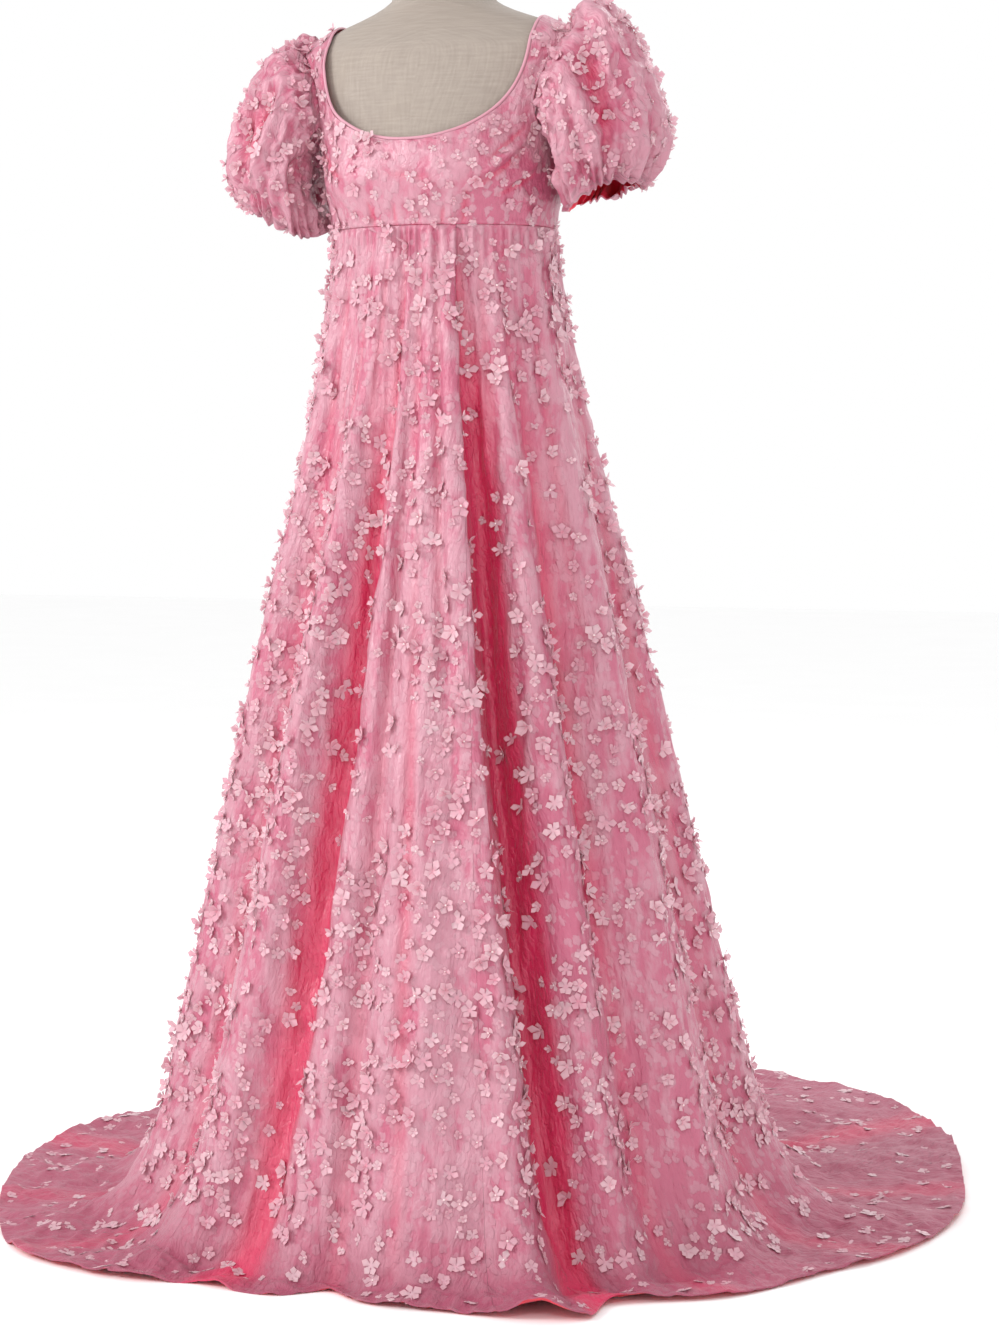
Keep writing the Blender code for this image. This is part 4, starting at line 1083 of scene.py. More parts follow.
BODICE_CRUMPLE = 0.0036
BODICE_CRUMPLE_SIZE = (0.022, 0.022, 0.026)
BODICE_CREASE_FULL = 0.0034
BODICE_CREASE_RED = 0.42            # the most painted shade that a crease gets, as a deep red valley
BODICE_LOWEST = -0.0026             # no crease reaches the form
CREASE_END_SHARE = 0.25             # height of a crease at its ends against its middle
SEAM_RIDGE = 0.0014
SEAM_RIDGE_WIDTH = 0.0028
SEAM_RIDGES_AT = (0.0035, 0.0030)   # from the waist seam and from the armhole
SEAM_FADES = (0.008, 0.006)         # creases fade out this near to each of them
SEAM_SHADE_WIDTH = 0.0016
UNDER_BUST_SHADE = 0.90              # painted shade: the creased part beside the left armhole is painted rosier
UNDER_BUST_ANGLES = (26.0, 12.0)    # where that starts, and over how far
UNDER_BUST_HEIGHTS = (1.262, 0.025)              # and under which height


def bodice_relief(angle, z, points, to_armhole):
    """Height of all creases, how low a point lies in the crumple with the painted shade beside the left
    armhole, and how deep in a crease.
    """
    crumpled = crumple(points, BODICE_CRUMPLE_SIZE)
    total = 0.0
    for first, first_z, last, last_z, half_width, rise in BODICE_CREASES:
        across = math.radians(last - first) * BODICE_ROUND
        up = last_z - first_z
        length = math.hypot(across, up)
        from_x = np.radians(turn_between(angle, first)) * BODICE_ROUND
        from_z = z - first_z
        share = np.clip((from_x * across + from_z * up) / length ** 2, 0.0, 1.0)
        away = np.hypot(from_x - share * across, from_z - share * up)
        arch = CREASE_END_SHARE + (1.0 - CREASE_END_SHARE) * np.sin(np.pi * share)
        total = total + rise * hump(away, half_width) * arch
    to_waist = z - WAIST_Z
    # Painted shade: the creases and the seams are given a deep red through the valley mark.
    seam_shade = hump(to_waist, SEAM_SHADE_WIDTH) + hump(to_armhole, SEAM_SHADE_WIDTH)
    deep = np.clip(-total / BODICE_CREASE_FULL, 0.0, BODICE_CREASE_RED) + 0.5 * seam_shade
    total = np.maximum(total + BODICE_CRUMPLE * crumpled, BODICE_LOWEST)
    for distance, fade in zip((to_waist, to_armhole), SEAM_FADES):
        total = total * smooth_step(distance / fade)
    for distance, ridge_at in zip((to_waist, to_armhole), SEAM_RIDGES_AT):
        total = total + SEAM_RIDGE * hump(distance - ridge_at, SEAM_RIDGE_WIDTH)
    first_angle, angle_fade = UNDER_BUST_ANGLES
    top, top_fade = UNDER_BUST_HEIGHTS
    # Painted shade beside the left armhole, under the bust.
    bust_shade = smooth_step(turn_between(angle, first_angle) / angle_fade)
    bust_shade = bust_shade * smooth_step((top - z) / top_fade) * (np.abs(angle) < 90.0)
    low = 0.45 - 1.2 * crumpled + UNDER_BUST_SHADE * bust_shade
    return total, np.clip(low, 0.0, ROSIEST), deep


print("creases on the bodice:", len(BODICE_CREASES))

# %% [markdown]
# The sleeves are the most crumpled part. Deep folds run from the gathered head to the gathered
# edge, and small ripples crowd at both ends. Simulated cloth would settle into folds of its
# own, while these have to stand where the solid's ripples do.

# %% Sleeve folds
SLEEVE_FOLDS = (
    # angle, top_run, low_run, drift, half_width, height
    (12, 0.05, 0.55, 6, 5.0, -0.0050),
    (30, 0.10, 0.80, -8, 6.0, 0.0050),
    (43, 0.35, 1.00, 4, 4.5, -0.0070),
    (58, 0.25, 0.98, 5, 6.5, -0.0080),
    (74, 0.15, 0.95, -5, 6.0, 0.0060),
    (88, 0.40, 1.00, 3, 4.5, -0.0080),
    (101, 0.05, 0.60, -6, 5.0, -0.0050),
    (112, 0.45, 1.00, 4, 5.0, 0.0060),
    (126, 0.30, 1.00, -3, 5.0, -0.0070),
    (145, 0.10, 0.70, 5, 6.0, 0.0040),
    (163, 0.40, 1.00, -4, 6.0, -0.0060),
    (188, 0.20, 0.90, 4, 5.0, -0.0050),
    (205, 0.40, 1.00, -4, 5.0, 0.0050),
    (222, 0.10, 0.75, 5, 5.5, -0.0060),
    (240, 0.35, 1.00, -3, 5.0, -0.0070),
    (255, 0.20, 0.90, 4, 6.0, 0.0060),
    (271, 0.40, 1.00, 3, 4.5, -0.0080),
    (290, 0.10, 0.65, -5, 5.0, -0.0050),
    (306, 0.30, 1.00, 4, 6.0, -0.0070),
    (322, 0.15, 0.80, -4, 5.5, 0.0050),
    (340, 0.05, 0.60, 3, 5.0, -0.0050),
)
SLEEVE_SIDE_SHIFT = 4.0             # the folds of the right sleeve are turned by twice this
SLEEVE_FADE = (0.02, 0.10, 1.06, 0.08)           # start, rise, end, fall
SMALL_RIPPLES = 27
SMALL_RIPPLE_HEIGHT = 0.0038
SMALL_RIPPLES_AT = (0.08, 0.93)
SMALL_RIPPLE_REACH = 0.13
SLEEVE_BULGE = 0.0060               # how far the puff hangs over its gathered lower edge
SLEEVE_BULGE_AT = 0.80
SLEEVE_BULGE_REACH = 0.12
SLEEVE_CRUMPLE = 0.0150
SLEEVE_CRUMPLE_SIZE = (0.024, 0.024, 0.036)
SHADE_IN_SLEEVE_FOLDS = 40.0
SLEEVE_ARCH = 0.7                   # under 1, a fold rises quickly at its ends


def sleeve_folds(angle, run, points, side):
    total = sleeve_relief(angle, run, side)
    shift = SLEEVE_SIDE_SHIFT * (1.0 - side)
    fade = between(run, SLEEVE_FADE)
    for centre, top_run, low_run, drift, half_width, height in SLEEVE_FOLDS:
        share = np.clip((run - top_run) / (low_run - top_run), 0.0, 1.0)
        away = turn_between(angle, centre + shift + drift * (share - 0.5))
        total = total + height * hump(away, half_width) * np.sin(np.pi * share) ** SLEEVE_ARCH
    turn = np.radians(angle)
    wave = uneven_wave(SMALL_RIPPLES, turn, ((1.9, 5.0, 0.0), (1.1, 9.0, side)))
    ends = sum(hump(run - at, SMALL_RIPPLE_REACH) for at in SMALL_RIPPLES_AT)
    total = total + SMALL_RIPPLE_HEIGHT * wave * ends * fade
    lobes = 0.7 + 0.3 * np.cos(7.0 * turn + side)
    total = total + SLEEVE_BULGE * hump(run - SLEEVE_BULGE_AT, SLEEVE_BULGE_REACH) * lobes
    crumpled = crumple(points, SLEEVE_CRUMPLE_SIZE)
    # Painted shade: rosier in the crumple's hollows and in the folds.
    low = np.clip(0.5 - SHADE_IN_CRUMPLE * crumpled - SHADE_IN_SLEEVE_FOLDS * total, 0.0, 1.0)
    return total + SLEEVE_CRUMPLE * crumpled * fade, low


print("folds on a sleeve:", len(SLEEVE_FOLDS))

# %% [markdown]
# A shell is a grid of points with an outer and an inner skin and walls round its edge, so it
# is closed. The inner skin needs only every second point, since it hardly shows. A Solidify
# modifier could thicken a single sheet, but it would keep every point inside, and it couldn't
# hold the cloth down on the floor. Each corner of a face gets its place on the flat cloth in
# metres, for the patterns to follow.

# %% Faces of a shell
def kept_inside(rows, columns, closed):
    """The points that the inner skin keeps: every second one, and all along the edges."""
    i, j = np.indices((rows, columns))
    kept = (i % 2 == 0) & (j % 2 == 0) | (i == 0) | (i == rows - 1)
    if not closed:
        kept = kept | (j == 0) | (j == columns - 1)
    return kept


def outer_faces(rows, cells):
    return [[(0, i, j), (0, i, j + 1), (0, i + 1, j + 1), (0, i + 1, j)]
            for i in range(rows - 1) for j in range(cells)]


def inner_faces(rows, cells, kept):
    """Faces of two by two cells. One at an edge also takes in the edge's middle points."""
    faces = []
    for i in range(0, rows - 1, 2):
        for j in range(0, cells, 2):
            ring = [(i, j), (i, j + 1), (i, j + 2), (i + 1, j + 2),
                    (i + 2, j + 2), (i + 2, j + 1), (i + 2, j), (i + 1, j)]
            faces.append([(1, r, c) for r, c in reversed(ring) if kept[r, c % kept.shape[1]]])
    return faces


def edge_faces(rows, cells, closed):
    """Narrow walls from the outer to the inner skin, all round the edge."""
    walls = []
    if not closed:
        walls += [[(i, 0), (i + 1, 0)] for i in range(rows - 1)]
        walls += [[(i + 1, cells), (i, cells)] for i in range(rows - 1)]
    walls += [[(0, j + 1), (0, j)] for j in range(cells)]
    walls += [[(rows - 1, j), (rows - 1, j + 1)] for j in range(cells)]
    return [[(0, *a), (0, *b), (1, *b), (1, *a)] for a, b in walls]


print("walls round a shell of 3 by 4 points:", len(edge_faces(3, 3, False)))

# %% Making a shell
SHARP = math.radians(58.0)


def flat_places(outer, cells):
    """Metres across and up the cloth at each point of a grid, from the middle of the first row."""
    wrapped = np.concatenate([outer, outer[:, :cells + 1 - outer.shape[1]]], axis=1)
    steps = np.linalg.norm(np.diff(wrapped, axis=1), axis=-1)
    across = np.concatenate([np.zeros((len(outer), 1)), np.cumsum(steps, axis=1)], axis=1)
    across = across - across[:, cells // 2][:, None]
    falls = np.linalg.norm(np.diff(outer, axis=0), axis=-1).mean(axis=1)
    down = np.concatenate([[0.0], np.cumsum(falls)])
    return across, np.broadcast_to(-down[:, None], across.shape)


def new_piece(name, mesh):
    piece = bpy.data.objects.new(name, mesh)
    bpy.context.scene.collection.objects.link(piece)
    return piece


def make_shell(name, outer, inner, finishes, marks, closed=False, places=None):
    """A closed shell. The marks are named numbers for the points of the grid."""
    rows, columns = outer.shape[:2]
    cells = columns if closed else columns - 1
    across, up = places or flat_places(outer, cells)
    kept = kept_inside(rows, columns, closed)
    inner_index = np.full((rows, columns), -1)
    inner_index[kept] = rows * columns + np.arange(kept.sum())
    index = (np.arange(rows * columns).reshape(rows, columns), inner_index)
    skins = (outer_faces(rows, cells), inner_faces(rows, cells, kept), edge_faces(rows, cells, closed))
    faces = skins[0] + skins[1] + skins[2]
    ground = [1 <= i < rows - 2 and (closed or 1 <= j < cells - 1)
              for i in range(rows - 1) for j in range(cells)]
    first = outer[1:, :-1] - outer[:-1, :-1]
    second = outer[:-1, 1:] - outer[:-1, :-1]
    if np.sum(np.cross(second, first) * (outer - inner)[:-1, :-1]) < 0:
        faces = [face[::-1] for face in faces]
    mesh = bpy.data.meshes.new(name)
    verts = np.concatenate([outer.reshape(-1, 3), inner[kept]])
    mesh.from_pydata(verts.tolist(), [], [[int(index[s][r, c % columns]) for s, r, c in f] for f in faces])
    places = np.array([(across[r, c], up[r, c]) for f in faces for s, r, c in f])
    mesh.uv_layers.new(name="cloth").data.foreach_set("uv", places.ravel())
    mesh.polygons.foreach_set("material_index", np.repeat([0, 1, 0], [len(skin) for skin in skins]))
    ground = ground + [False] * (len(faces) - len(ground))
    mesh.attributes.new("ground", "BOOLEAN", "FACE").data.foreach_set("value", ground)
    for label, values in marks.items():
        mark = mesh.attributes.new(label, "FLOAT", "POINT")
        mark.data.foreach_set("value", np.concatenate([values.ravel(), values[kept]]))
    for finish in finishes:
        mesh.materials.append(finish)
    mesh.shade_smooth()
    mesh.set_sharp_from_angle(angle=SHARP)
    return new_piece(name, mesh)


def lowest_near(relief):
    """The lowest relief among each point and its neighbours, for an inner skin with wider cells."""
    padded = np.pad(relief, 1, mode="edge")
    rows, columns = relief.shape
    return np.min([padded[i:i + rows, j:j + columns] for i, j in np.ndindex(3, 3)], axis=0)


print("lowest of three in a row:", lowest_near(np.array([[3.0, 1.0, 2.0]])))

# %% [markdown]
# One thing is worked out from a piece before it is creased: the share of the flowers that
# stay at each point, since on the gown they stand in loose patches.

# %% Flowers that stay
FLOWER_PATCH = 0.055                # size of the patches with more and with fewer flowers
FLOWER_NOISE = (0.12, 0.42)         # noise at the barest place, and the rise to the fullest
FLOWER_LEAST = 0.36                 # share of the flowers that stay in the barest place


def patchy(points, most):
    """Share of the flowers that stay, which changes from patch to patch."""
    lowest, rise = FLOWER_NOISE
    share = most * np.clip((lattice_noise(points / FLOWER_PATCH) - lowest) / rise, FLOWER_LEAST, 1.0)
    return np.minimum(share, 1.0)


print("share of the flowers at the axis:", patchy(np.zeros((1, 3)), 1.0).round(3))

# %% [markdown]
# Seven gores make the skirt. Each is a shell over its own stretch of the skirt surface, and
# they share one surface and one set of creases, so folds run on across the seams. On the floor
# the inner skin is pressed flat. One shell all round would be quicker, but the real skirt is
# cut in gores, and each of them has to answer to its own solid.

# %% Skirt
GORES = (
    # name, first_angle, last_angle
    ("skirt_front", -31.0, 30.0),
    ("skirt_side_front_left", 30.0, 80.0),
    ("skirt_side_back_left", 80.0, 130.0),
    ("skirt_back_left", 130.0, 180.0),
    ("skirt_back_right", 180.0, 230.0),
    ("skirt_side_back_right", 230.0, 280.0),
    ("skirt_side_front_right", 280.0, 329.0),
)
SHELL = 0.0012
FALL_CELLS = 130
TURN_CELLS = 36
FLOOR_CELLS = 36
COLUMN_ANGLE = 0.5                  # degrees between two columns of points
HEM_WAVE = 0.0038
HEM_WAVE_START = 0.93
INNER_LOWEST = 0.0002               # the inner skin is pressed flat just over the floor
FLOOR_SHELL_SHARE = 0.6             # and the outer one stays this share of a shell over it
FLAT_FLOWERS = 0.85                 # how much flatter the flowers lie on the floor
FLOOR_BARENESS = 0.62               # share of the flowers that is missing on the floor
VALLEY_BARENESS = 0.88              # and in the deepest folds
pieces = {}


def skirt_runs():
    fall = np.linspace(0.0, FALL_END, FALL_CELLS + 1)
    turn = np.linspace(FALL_END, TURN_END, TURN_CELLS + 1)[1:]
    floor = np.linspace(TURN_END, 1.0, FLOOR_CELLS + 1)[1:]
    return np.concatenate([fall, turn, floor])


def hem_wave(angle, run):
    """Low uneven waves along the hem, where it doesn't lie quite flat."""
    turn = np.radians(angle)
    wave = np.sin(9.0 * turn + 1.3 * np.sin(4.0 * turn)) + 0.6 * np.sin(23.0 * turn + 0.7)
    near_hem = smooth_step((run - HEM_WAVE_START) / (1.0 - HEM_WAVE_START))
    return HEM_WAVE * np.maximum(wave - 0.25, 0.0) * near_hem


def make_gore(node, first, last):
    cells = 2 * round((last - first) / COLUMN_ANGLE / 2.0)
    angle, run = np.meshgrid(np.linspace(first, last, cells + 1), skirt_runs())
    smooth = skirt_point(angle, run)
    smooth[0, :, 2] -= SEAM_GAP / 2.0
    smooth[..., 2] += hem_wave(angle, run)
    normal = normals_of(skirt_point, angle, np.clip(run, SMALL_STEP, 1.0 - SMALL_STEP))
    relief, low = skirt_relief(angle, run, smooth)
    outer = smooth + normal * relief[..., None]
    inner = smooth + normal * (lowest_near(relief) - SHELL)[..., None]
    outer[0, :, 2] = smooth[0, :, 2]
    inner[0, :, 2] = smooth[0, :, 2]
    inner[..., 2] = np.maximum(inner[..., 2], INNER_LOWEST)
    over_inner = inner[..., 2] + FLOOR_SHELL_SHARE * SHELL * (run > FALL_END)
    outer[..., 2] = np.maximum(outer[..., 2], over_inner)
    for skin in (outer, inner):
        skin[:, 0] += unit(skin[:, 1] - skin[:, 0]) * SEAM_GAP / 2.0
        skin[:, -1] += unit(skin[:, -2] - skin[:, -1]) * SEAM_GAP / 2.0
    name = node.replace("skirt", "gore")
    # laid and valley carry painted shade into the satin, on the floor and in the folds; they also thin and
    # flatten the flowers there.
    laid = smooth_step((run - FALL_END) / (TURN_END - FALL_END))
    valley = skirt_valley(angle, run, smooth)
    share = patchy(smooth, 1.0) * (1.0 - FLOOR_BARENESS * laid) * (1.0 - VALLEY_BARENESS * valley)
    marks = {"valley": valley, "low": low, "laid": laid, "steep": 1.0 - FLAT_FLOWERS * laid,
             "share": share}
    piece = make_shell(name, outer, inner, (satin, lining), marks)
    pieces[node] = piece


for node, first, last in GORES:
    make_gore(node, first, last)

# %% [markdown]
# The bodice has a front and a back panel. A panel's grid runs from the waist seam up to the
# chest line, and from there into each shoulder, so a half is made at a time: the left half and
# the right half are joined down the middle under the neck. One grid over both shoulders would
# need a hole cut for the neck, and a cut edge is never as clean as a row of points.

# %% Half a panel
LOW_CELLS = 40
TOP_CELLS = 72
ACROSS_CELLS = 70


def panel_half(side, facing, bottom_z):
    """Angles and heights of half a panel, and how far each point is from the armhole."""
    across = np.linspace(0.0, 1.0, ACROSS_CELLS + 1)
    low = WAIST_Z + SEAM_GAP / 2.0
    bow = ((1.0 + np.cos(np.pi * across)) / 2.0) ** CHEST_CURVE
    chest = UNDERARM_Z + (bottom_z - UNDERARM_Z) * bow
    angles = [90.0 * across for _ in range(LOW_CELLS + 1)]
    heights = [low + (chest - low) * share for share in np.linspace(0.0, 1.0, LOW_CELLS + 1)]
    edge = [np.ones_like(across)] * (LOW_CELLS + 1)
    for k in range(1, TOP_CELLS + 1):
        hole_share = np.array(k / TOP_CELLS)
        neck_share = 1.0 - (1.0 - hole_share) ** STRAP_CROWDING
        neck_angle, neck_z = neck_line(neck_share, 1.0, bottom_z)
        hole_angle, hole_z = armhole_line(hole_share, 1.0)
        angles.append(neck_angle + (hole_angle - neck_angle) * across)
        heights.append(neck_z + (hole_z - neck_z) * across)
        width = math.hypot(math.radians(hole_angle - neck_angle) * BODICE_ROUND, hole_z - neck_z)
        edge.append((1.0 - across) * width)
    angle = np.array(angles)
    angle = side * (180.0 - angle if facing > 0 else angle)
    return angle, np.array(heights), np.array(edge)


print("points in half a panel:", panel_half(1.0, -1, NECK_FRONT_Z)[0].size)

# %% Bodice
BODICE_FLOWERS = 1.5                # more of the small flowers stay than on the skirt
ON_MIDDLE = 1e-6                    # points this near the middle line are on it


def join_halves(name, halves):
    """One closed shell from the two halves, which meet on the middle line below the neck."""
    finishes = (bodice_satin, lining)
    parts = []
    for outer, inner, marks, places in halves:
        parts.append(make_shell(name + "_half", outer, inner, finishes, marks, places=places))
    joined = bmesh.new()
    for part in parts:
        joined.from_mesh(part.data)
    middle = [face for face in joined.faces if all(abs(v.co.x) < ON_MIDDLE for v in face.verts)]
    bmesh.ops.delete(joined, geom=middle, context="FACES_ONLY")
    on_middle = [v for v in joined.verts if abs(v.co.x) < ON_MIDDLE]
    bmesh.ops.remove_doubles(joined, verts=on_middle, dist=ON_MIDDLE)
    mesh = parts[0].data.copy()
    mesh.name = name
    joined.to_mesh(mesh)
    joined.free()
    for part in parts:
        bpy.data.objects.remove(part)
    mesh.shade_smooth()
    mesh.set_sharp_from_angle(angle=SHARP)
    return new_piece(name, mesh)


def make_panel(node, facing, bottom_z):
    """The two halves share the middle line from the waist up to the neck."""
    halves = []
    for side in (1.0, -1.0):
        angle, z, edge = panel_half(side, facing, bottom_z)
        smooth = worn_point(angle, z, EASE + CLOTH)
        normal = body_normal(angle, z)
        relief, low, deep = bodice_relief(angle, z, smooth, edge)
        outer = smooth + normal * relief[..., None]
        inner = smooth + normal * (lowest_near(relief) - SHELL)[..., None]
        for skin in (outer, inner):
            skin[0, :, 2] = WAIST_Z + SEAM_GAP / 2.0
            skin[..., 1] = facing * np.maximum(facing * skin[..., 1], SEAM_GAP / 2.0)
        marks = {"valley": deep, "low": low, "steep": np.ones_like(z),
                 "share": patchy(smooth, BODICE_FLOWERS)}
        halves.append((outer, inner, marks, (np.radians(angle) * BODICE_ROUND, z)))
    name = node + "_panel"
    pieces[node] = join_halves(name, halves)


make_panel("bodice_front", -1, NECK_FRONT_Z)
make_panel("bodice_back", 1, NECK_BACK_Z)

# %% [markdown]
# Each sleeve is one shell that closes on itself round the arm. The lower edge is gathered, so
# its lobes hang a little below the edge itself. A real sleeve mostly has a seam under the arm.
# A flat piece could be rolled up to that seam, but it doesn't show, so the ring has none.

# %% Sleeves
SLEEVE_CELLS_ROUND = 264
SLEEVE_CELLS_DOWN = 96
SLEEVE_DROOP = 0.017                # how much lower the gathered edge hangs in front
SLEEVE_DROOP_ANGLE = 138.0
SLEEVE_DROOP_WIDTH = 52.0
SLEEVE_DROOP_START = 0.70
SLEEVE_VALLEY_SHADE = (0.7, 0.021, 1.3)   # painted shade in the folds: most red, depth where it is reached, and curve


def make_sleeve(node, side):
    angle, run = np.meshgrid(
        np.arange(SLEEVE_CELLS_ROUND) * 360.0 / SLEEVE_CELLS_ROUND,
        np.linspace(0.0, 1.0, SLEEVE_CELLS_DOWN + 1),
    )

    def surface(u, v):
        return sleeve_point(u, v, side)

    smooth = surface(angle, run)
    normal = normals_of(surface, angle, np.clip(run, SMALL_STEP, 1.0 - SMALL_STEP))
    middle = np.array([side * SLEEVE_HEM_CENTRE[0], 0.0, (SLEEVE_HEM_CENTRE[2] + ARMHOLE_TOP_Z) / 2.0])
    normal = normal * np.sign(np.sum(normal * (smooth - middle)))
    relief, low = sleeve_folds(angle, run, smooth, side)
    droop = SLEEVE_DROOP * hump(turn_between(angle, SLEEVE_DROOP_ANGLE), SLEEVE_DROOP_WIDTH)
    smooth[..., 2] -= droop * smooth_step((run - SLEEVE_DROOP_START) / 0.30)
    outer = smooth + normal * relief[..., None]
    inner = smooth + normal * (lowest_near(relief) - SHELL)[..., None]
    name = "puff_" + node
    # Painted shade: the deep folds are given a deep red.
    most, full, curve = SLEEVE_VALLEY_SHADE
    marks = {"valley": most * np.clip(-relief / full, 0.0, 1.0) ** curve, "low": low,
             "steep": np.ones_like(run), "share": patchy(smooth, 1.0)}
    piece = make_shell(name, outer, inner, (satin, lining), marks, closed=True)
    pieces[node] = piece


make_sleeve("sleeve_left", 1.0)
make_sleeve("sleeve_right", -1.0)

# %% [markdown]
# The neck is finished with a thin smooth edge, a strip of the same satin folded over. A curve
# with a round bevel could make it, but as rings of points along the neck line it stays exactly
# beside the panels' edges.

# %% Neck edge
EDGE_STATIONS = 64                  # along a quarter of the neck
EDGE_HALF_WIDTH = 0.0019
EDGE_HALF_HEIGHT = 0.0015
EDGE_CORNERS = 10


def neck_stations():
    s = 1.0 - (1.0 - np.linspace(0.0, 1.0, EDGE_STATIONS + 1)) ** STRAP_CROWDING
    front, front_z = neck_line(s, 1.0, NECK_FRONT_Z)
    back, back_z = neck_line(s, 1.0, NECK_BACK_Z)
    back = 180.0 - back
    angle = np.concatenate([front, back[::-1][1:], -back[1:], -front[::-1][1:-1]])
    z = np.concatenate([front_z, back_z[::-1][1:], back_z[1:], front_z[::-1][1:-1]])
    return angle, z


def make_neck_edge():
    angle, z = neck_stations()
    line = worn_point(angle, z, EASE + CLOTH / 2.0)
    normal = body_normal(angle, z)
    along = unit(np.roll(line, -1, axis=0) - np.roll(line, 1, axis=0))
    to_neck = unit(np.cross(normal, along))
    up = np.cross(along, to_neck)
    centre = line + to_neck * (EDGE_HALF_WIDTH + SEAM_GAP)
    turn = np.arange(EDGE_CORNERS) * 2.0 * math.pi / EDGE_CORNERS
    verts = []
    for a in turn:
        around = to_neck * math.cos(a) * EDGE_HALF_WIDTH + up * math.sin(a) * EDGE_HALF_HEIGHT
        verts.extend((centre + around).tolist())
    count = len(centre)
    faces = []
    for k in range(EDGE_CORNERS):
        m = (k + 1) % EDGE_CORNERS
        for n in range(count):
            o = (n + 1) % count
            faces.append((k * count + n, k * count + o, m * count + o, m * count + n))
    mesh = bpy.data.meshes.new("neck_edge")
    mesh.from_pydata(verts, [], faces)
    face_outwards(mesh)
    mesh.materials.append(edge_satin)
    mesh.shade_smooth()
    return new_piece("neck_edge", mesh)


def face_outwards(mesh):
    shape = bmesh.new()
    shape.from_mesh(mesh)
    bmesh.ops.recalc_face_normals(shape, faces=shape.faces)
    shape.to_mesh(mesh)
    shape.free()


pieces["neck_binding"] = make_neck_edge()
print("neck edge:", len(pieces["neck_binding"].data.vertices), "points")

# %% [markdown]
# The dress form is a smooth body cut flat under the waist and across the neck. It isn't round,
# so it couldn't be turned like a vase: it is a stack of rings from its own formula. Its linen
# is pulled tight, so it needs no creases, only fine rings and the weave.

# %% Dress form
FORM_CELLS_ROUND = 96
FORM_RINGS = 110
FORM_TOP_Z = FORM_SECTIONS[-1][0]
FORM_LOW_Z = FORM_SECTIONS[0][0]
FORM_ROUNDING = 0.006
CAP_SHARES = (0.6, 0.33)            # each ring of the flat ends against the one outside it


def make_form_cover():
    angle = np.arange(FORM_CELLS_ROUND) * 360.0 / FORM_CELLS_ROUND
    heights = np.linspace(FORM_LOW_Z, FORM_TOP_Z, FORM_RINGS + 1)
    rings = []
    for z in heights:
        ring = body_point(angle, np.full_like(angle, z))
        near = min(z - FORM_LOW_Z, FORM_TOP_Z - z) / FORM_ROUNDING
        if near < 1.0:
            inwards = FORM_ROUNDING * (1.0 - math.sqrt(1.0 - (1.0 - near) ** 2))
            ring[:, :2] *= 1.0 - inwards / np.linalg.norm(ring[:, :2], axis=1, keepdims=True)
        rings.append(ring)
    for share in CAP_SHARES:
        rings.insert(0, rings[0] * [share, share, 1.0])
        rings.append(rings[-1] * [share, share, 1.0])
    points = np.array(rings)
    rows = len(points)
    across, up = flat_places(points, FORM_CELLS_ROUND)
    faces = []
    places = []
    for i in range(rows - 1):
        for j in range(FORM_CELLS_ROUND):
            ring = [(i, j), (i, j + 1), (i + 1, j + 1), (i + 1, j)]
            faces.append([r * FORM_CELLS_ROUND + c % FORM_CELLS_ROUND for r, c in ring])
            places.extend((across[r, c], up[r, c]) for r, c in ring)
    for row in (0, rows - 1):
        faces.append([row * FORM_CELLS_ROUND + j for j in range(FORM_CELLS_ROUND)])
        places.extend(points[row][:, :2].tolist())
    mesh = bpy.data.meshes.new("form_cover")
    mesh.from_pydata(points.reshape(-1, 3).tolist(), [], faces)
    mesh.uv_layers.new(name="cloth").data.foreach_set("uv", np.array(places).ravel())
    face_outwards(mesh)
    mesh.materials.append(linen)
    mesh.shade_smooth()
    return new_piece("form_cover", mesh)


pieces["form_torso"] = make_form_cover()
for node in ("stand_base", "stand_pole"):
    bpy.data.objects[node].material_slots[0].material = steel
print("form:", len(pieces["form_torso"].data.vertices), "points")

# %% [markdown]
# The flowers are cut from cloth, mostly with five petals, and sewn on by their middles, so
# their petals stand up at all angles. A dozen kinds are made from one rule with a fixed seed:
# each petal has its own length, width and tilt. Some have a pearl in the middle. Kinds drawn by
# hand would differ more, but among thousands that hardly shows. A flower has about sixty
# small faces, because there are so many.

# %% Kinds of flower
FLOWER_KINDS = 12
PETAL_LENGTH = 0.0114
PETAL_THICKNESS = 0.0004
PETAL_WIDEST = 0.66                 # where along its length a petal is widest
PETAL_MIDDLE = 0.50
PETAL_EDGE_RISE = 0.0006            # rise of its sides, and of its middle line
PETAL_MIDDLE_RISE = 0.0002
FLOWER_HEART = 0.22                 # how far from the middle two petals part, of their length
HEART_RISE = 0.0010
GAP_RISE = 0.0007
CUP = (0.10, 0.55)                  # least and most tilt of a kind's petals, in radians
FOLDED_SHARE = 0.18                 # share of the petals that are folded up
FOLDED_TILT = 0.6
PEARL_RADIUS = 0.0014
chance = np.random.default_rng(5)


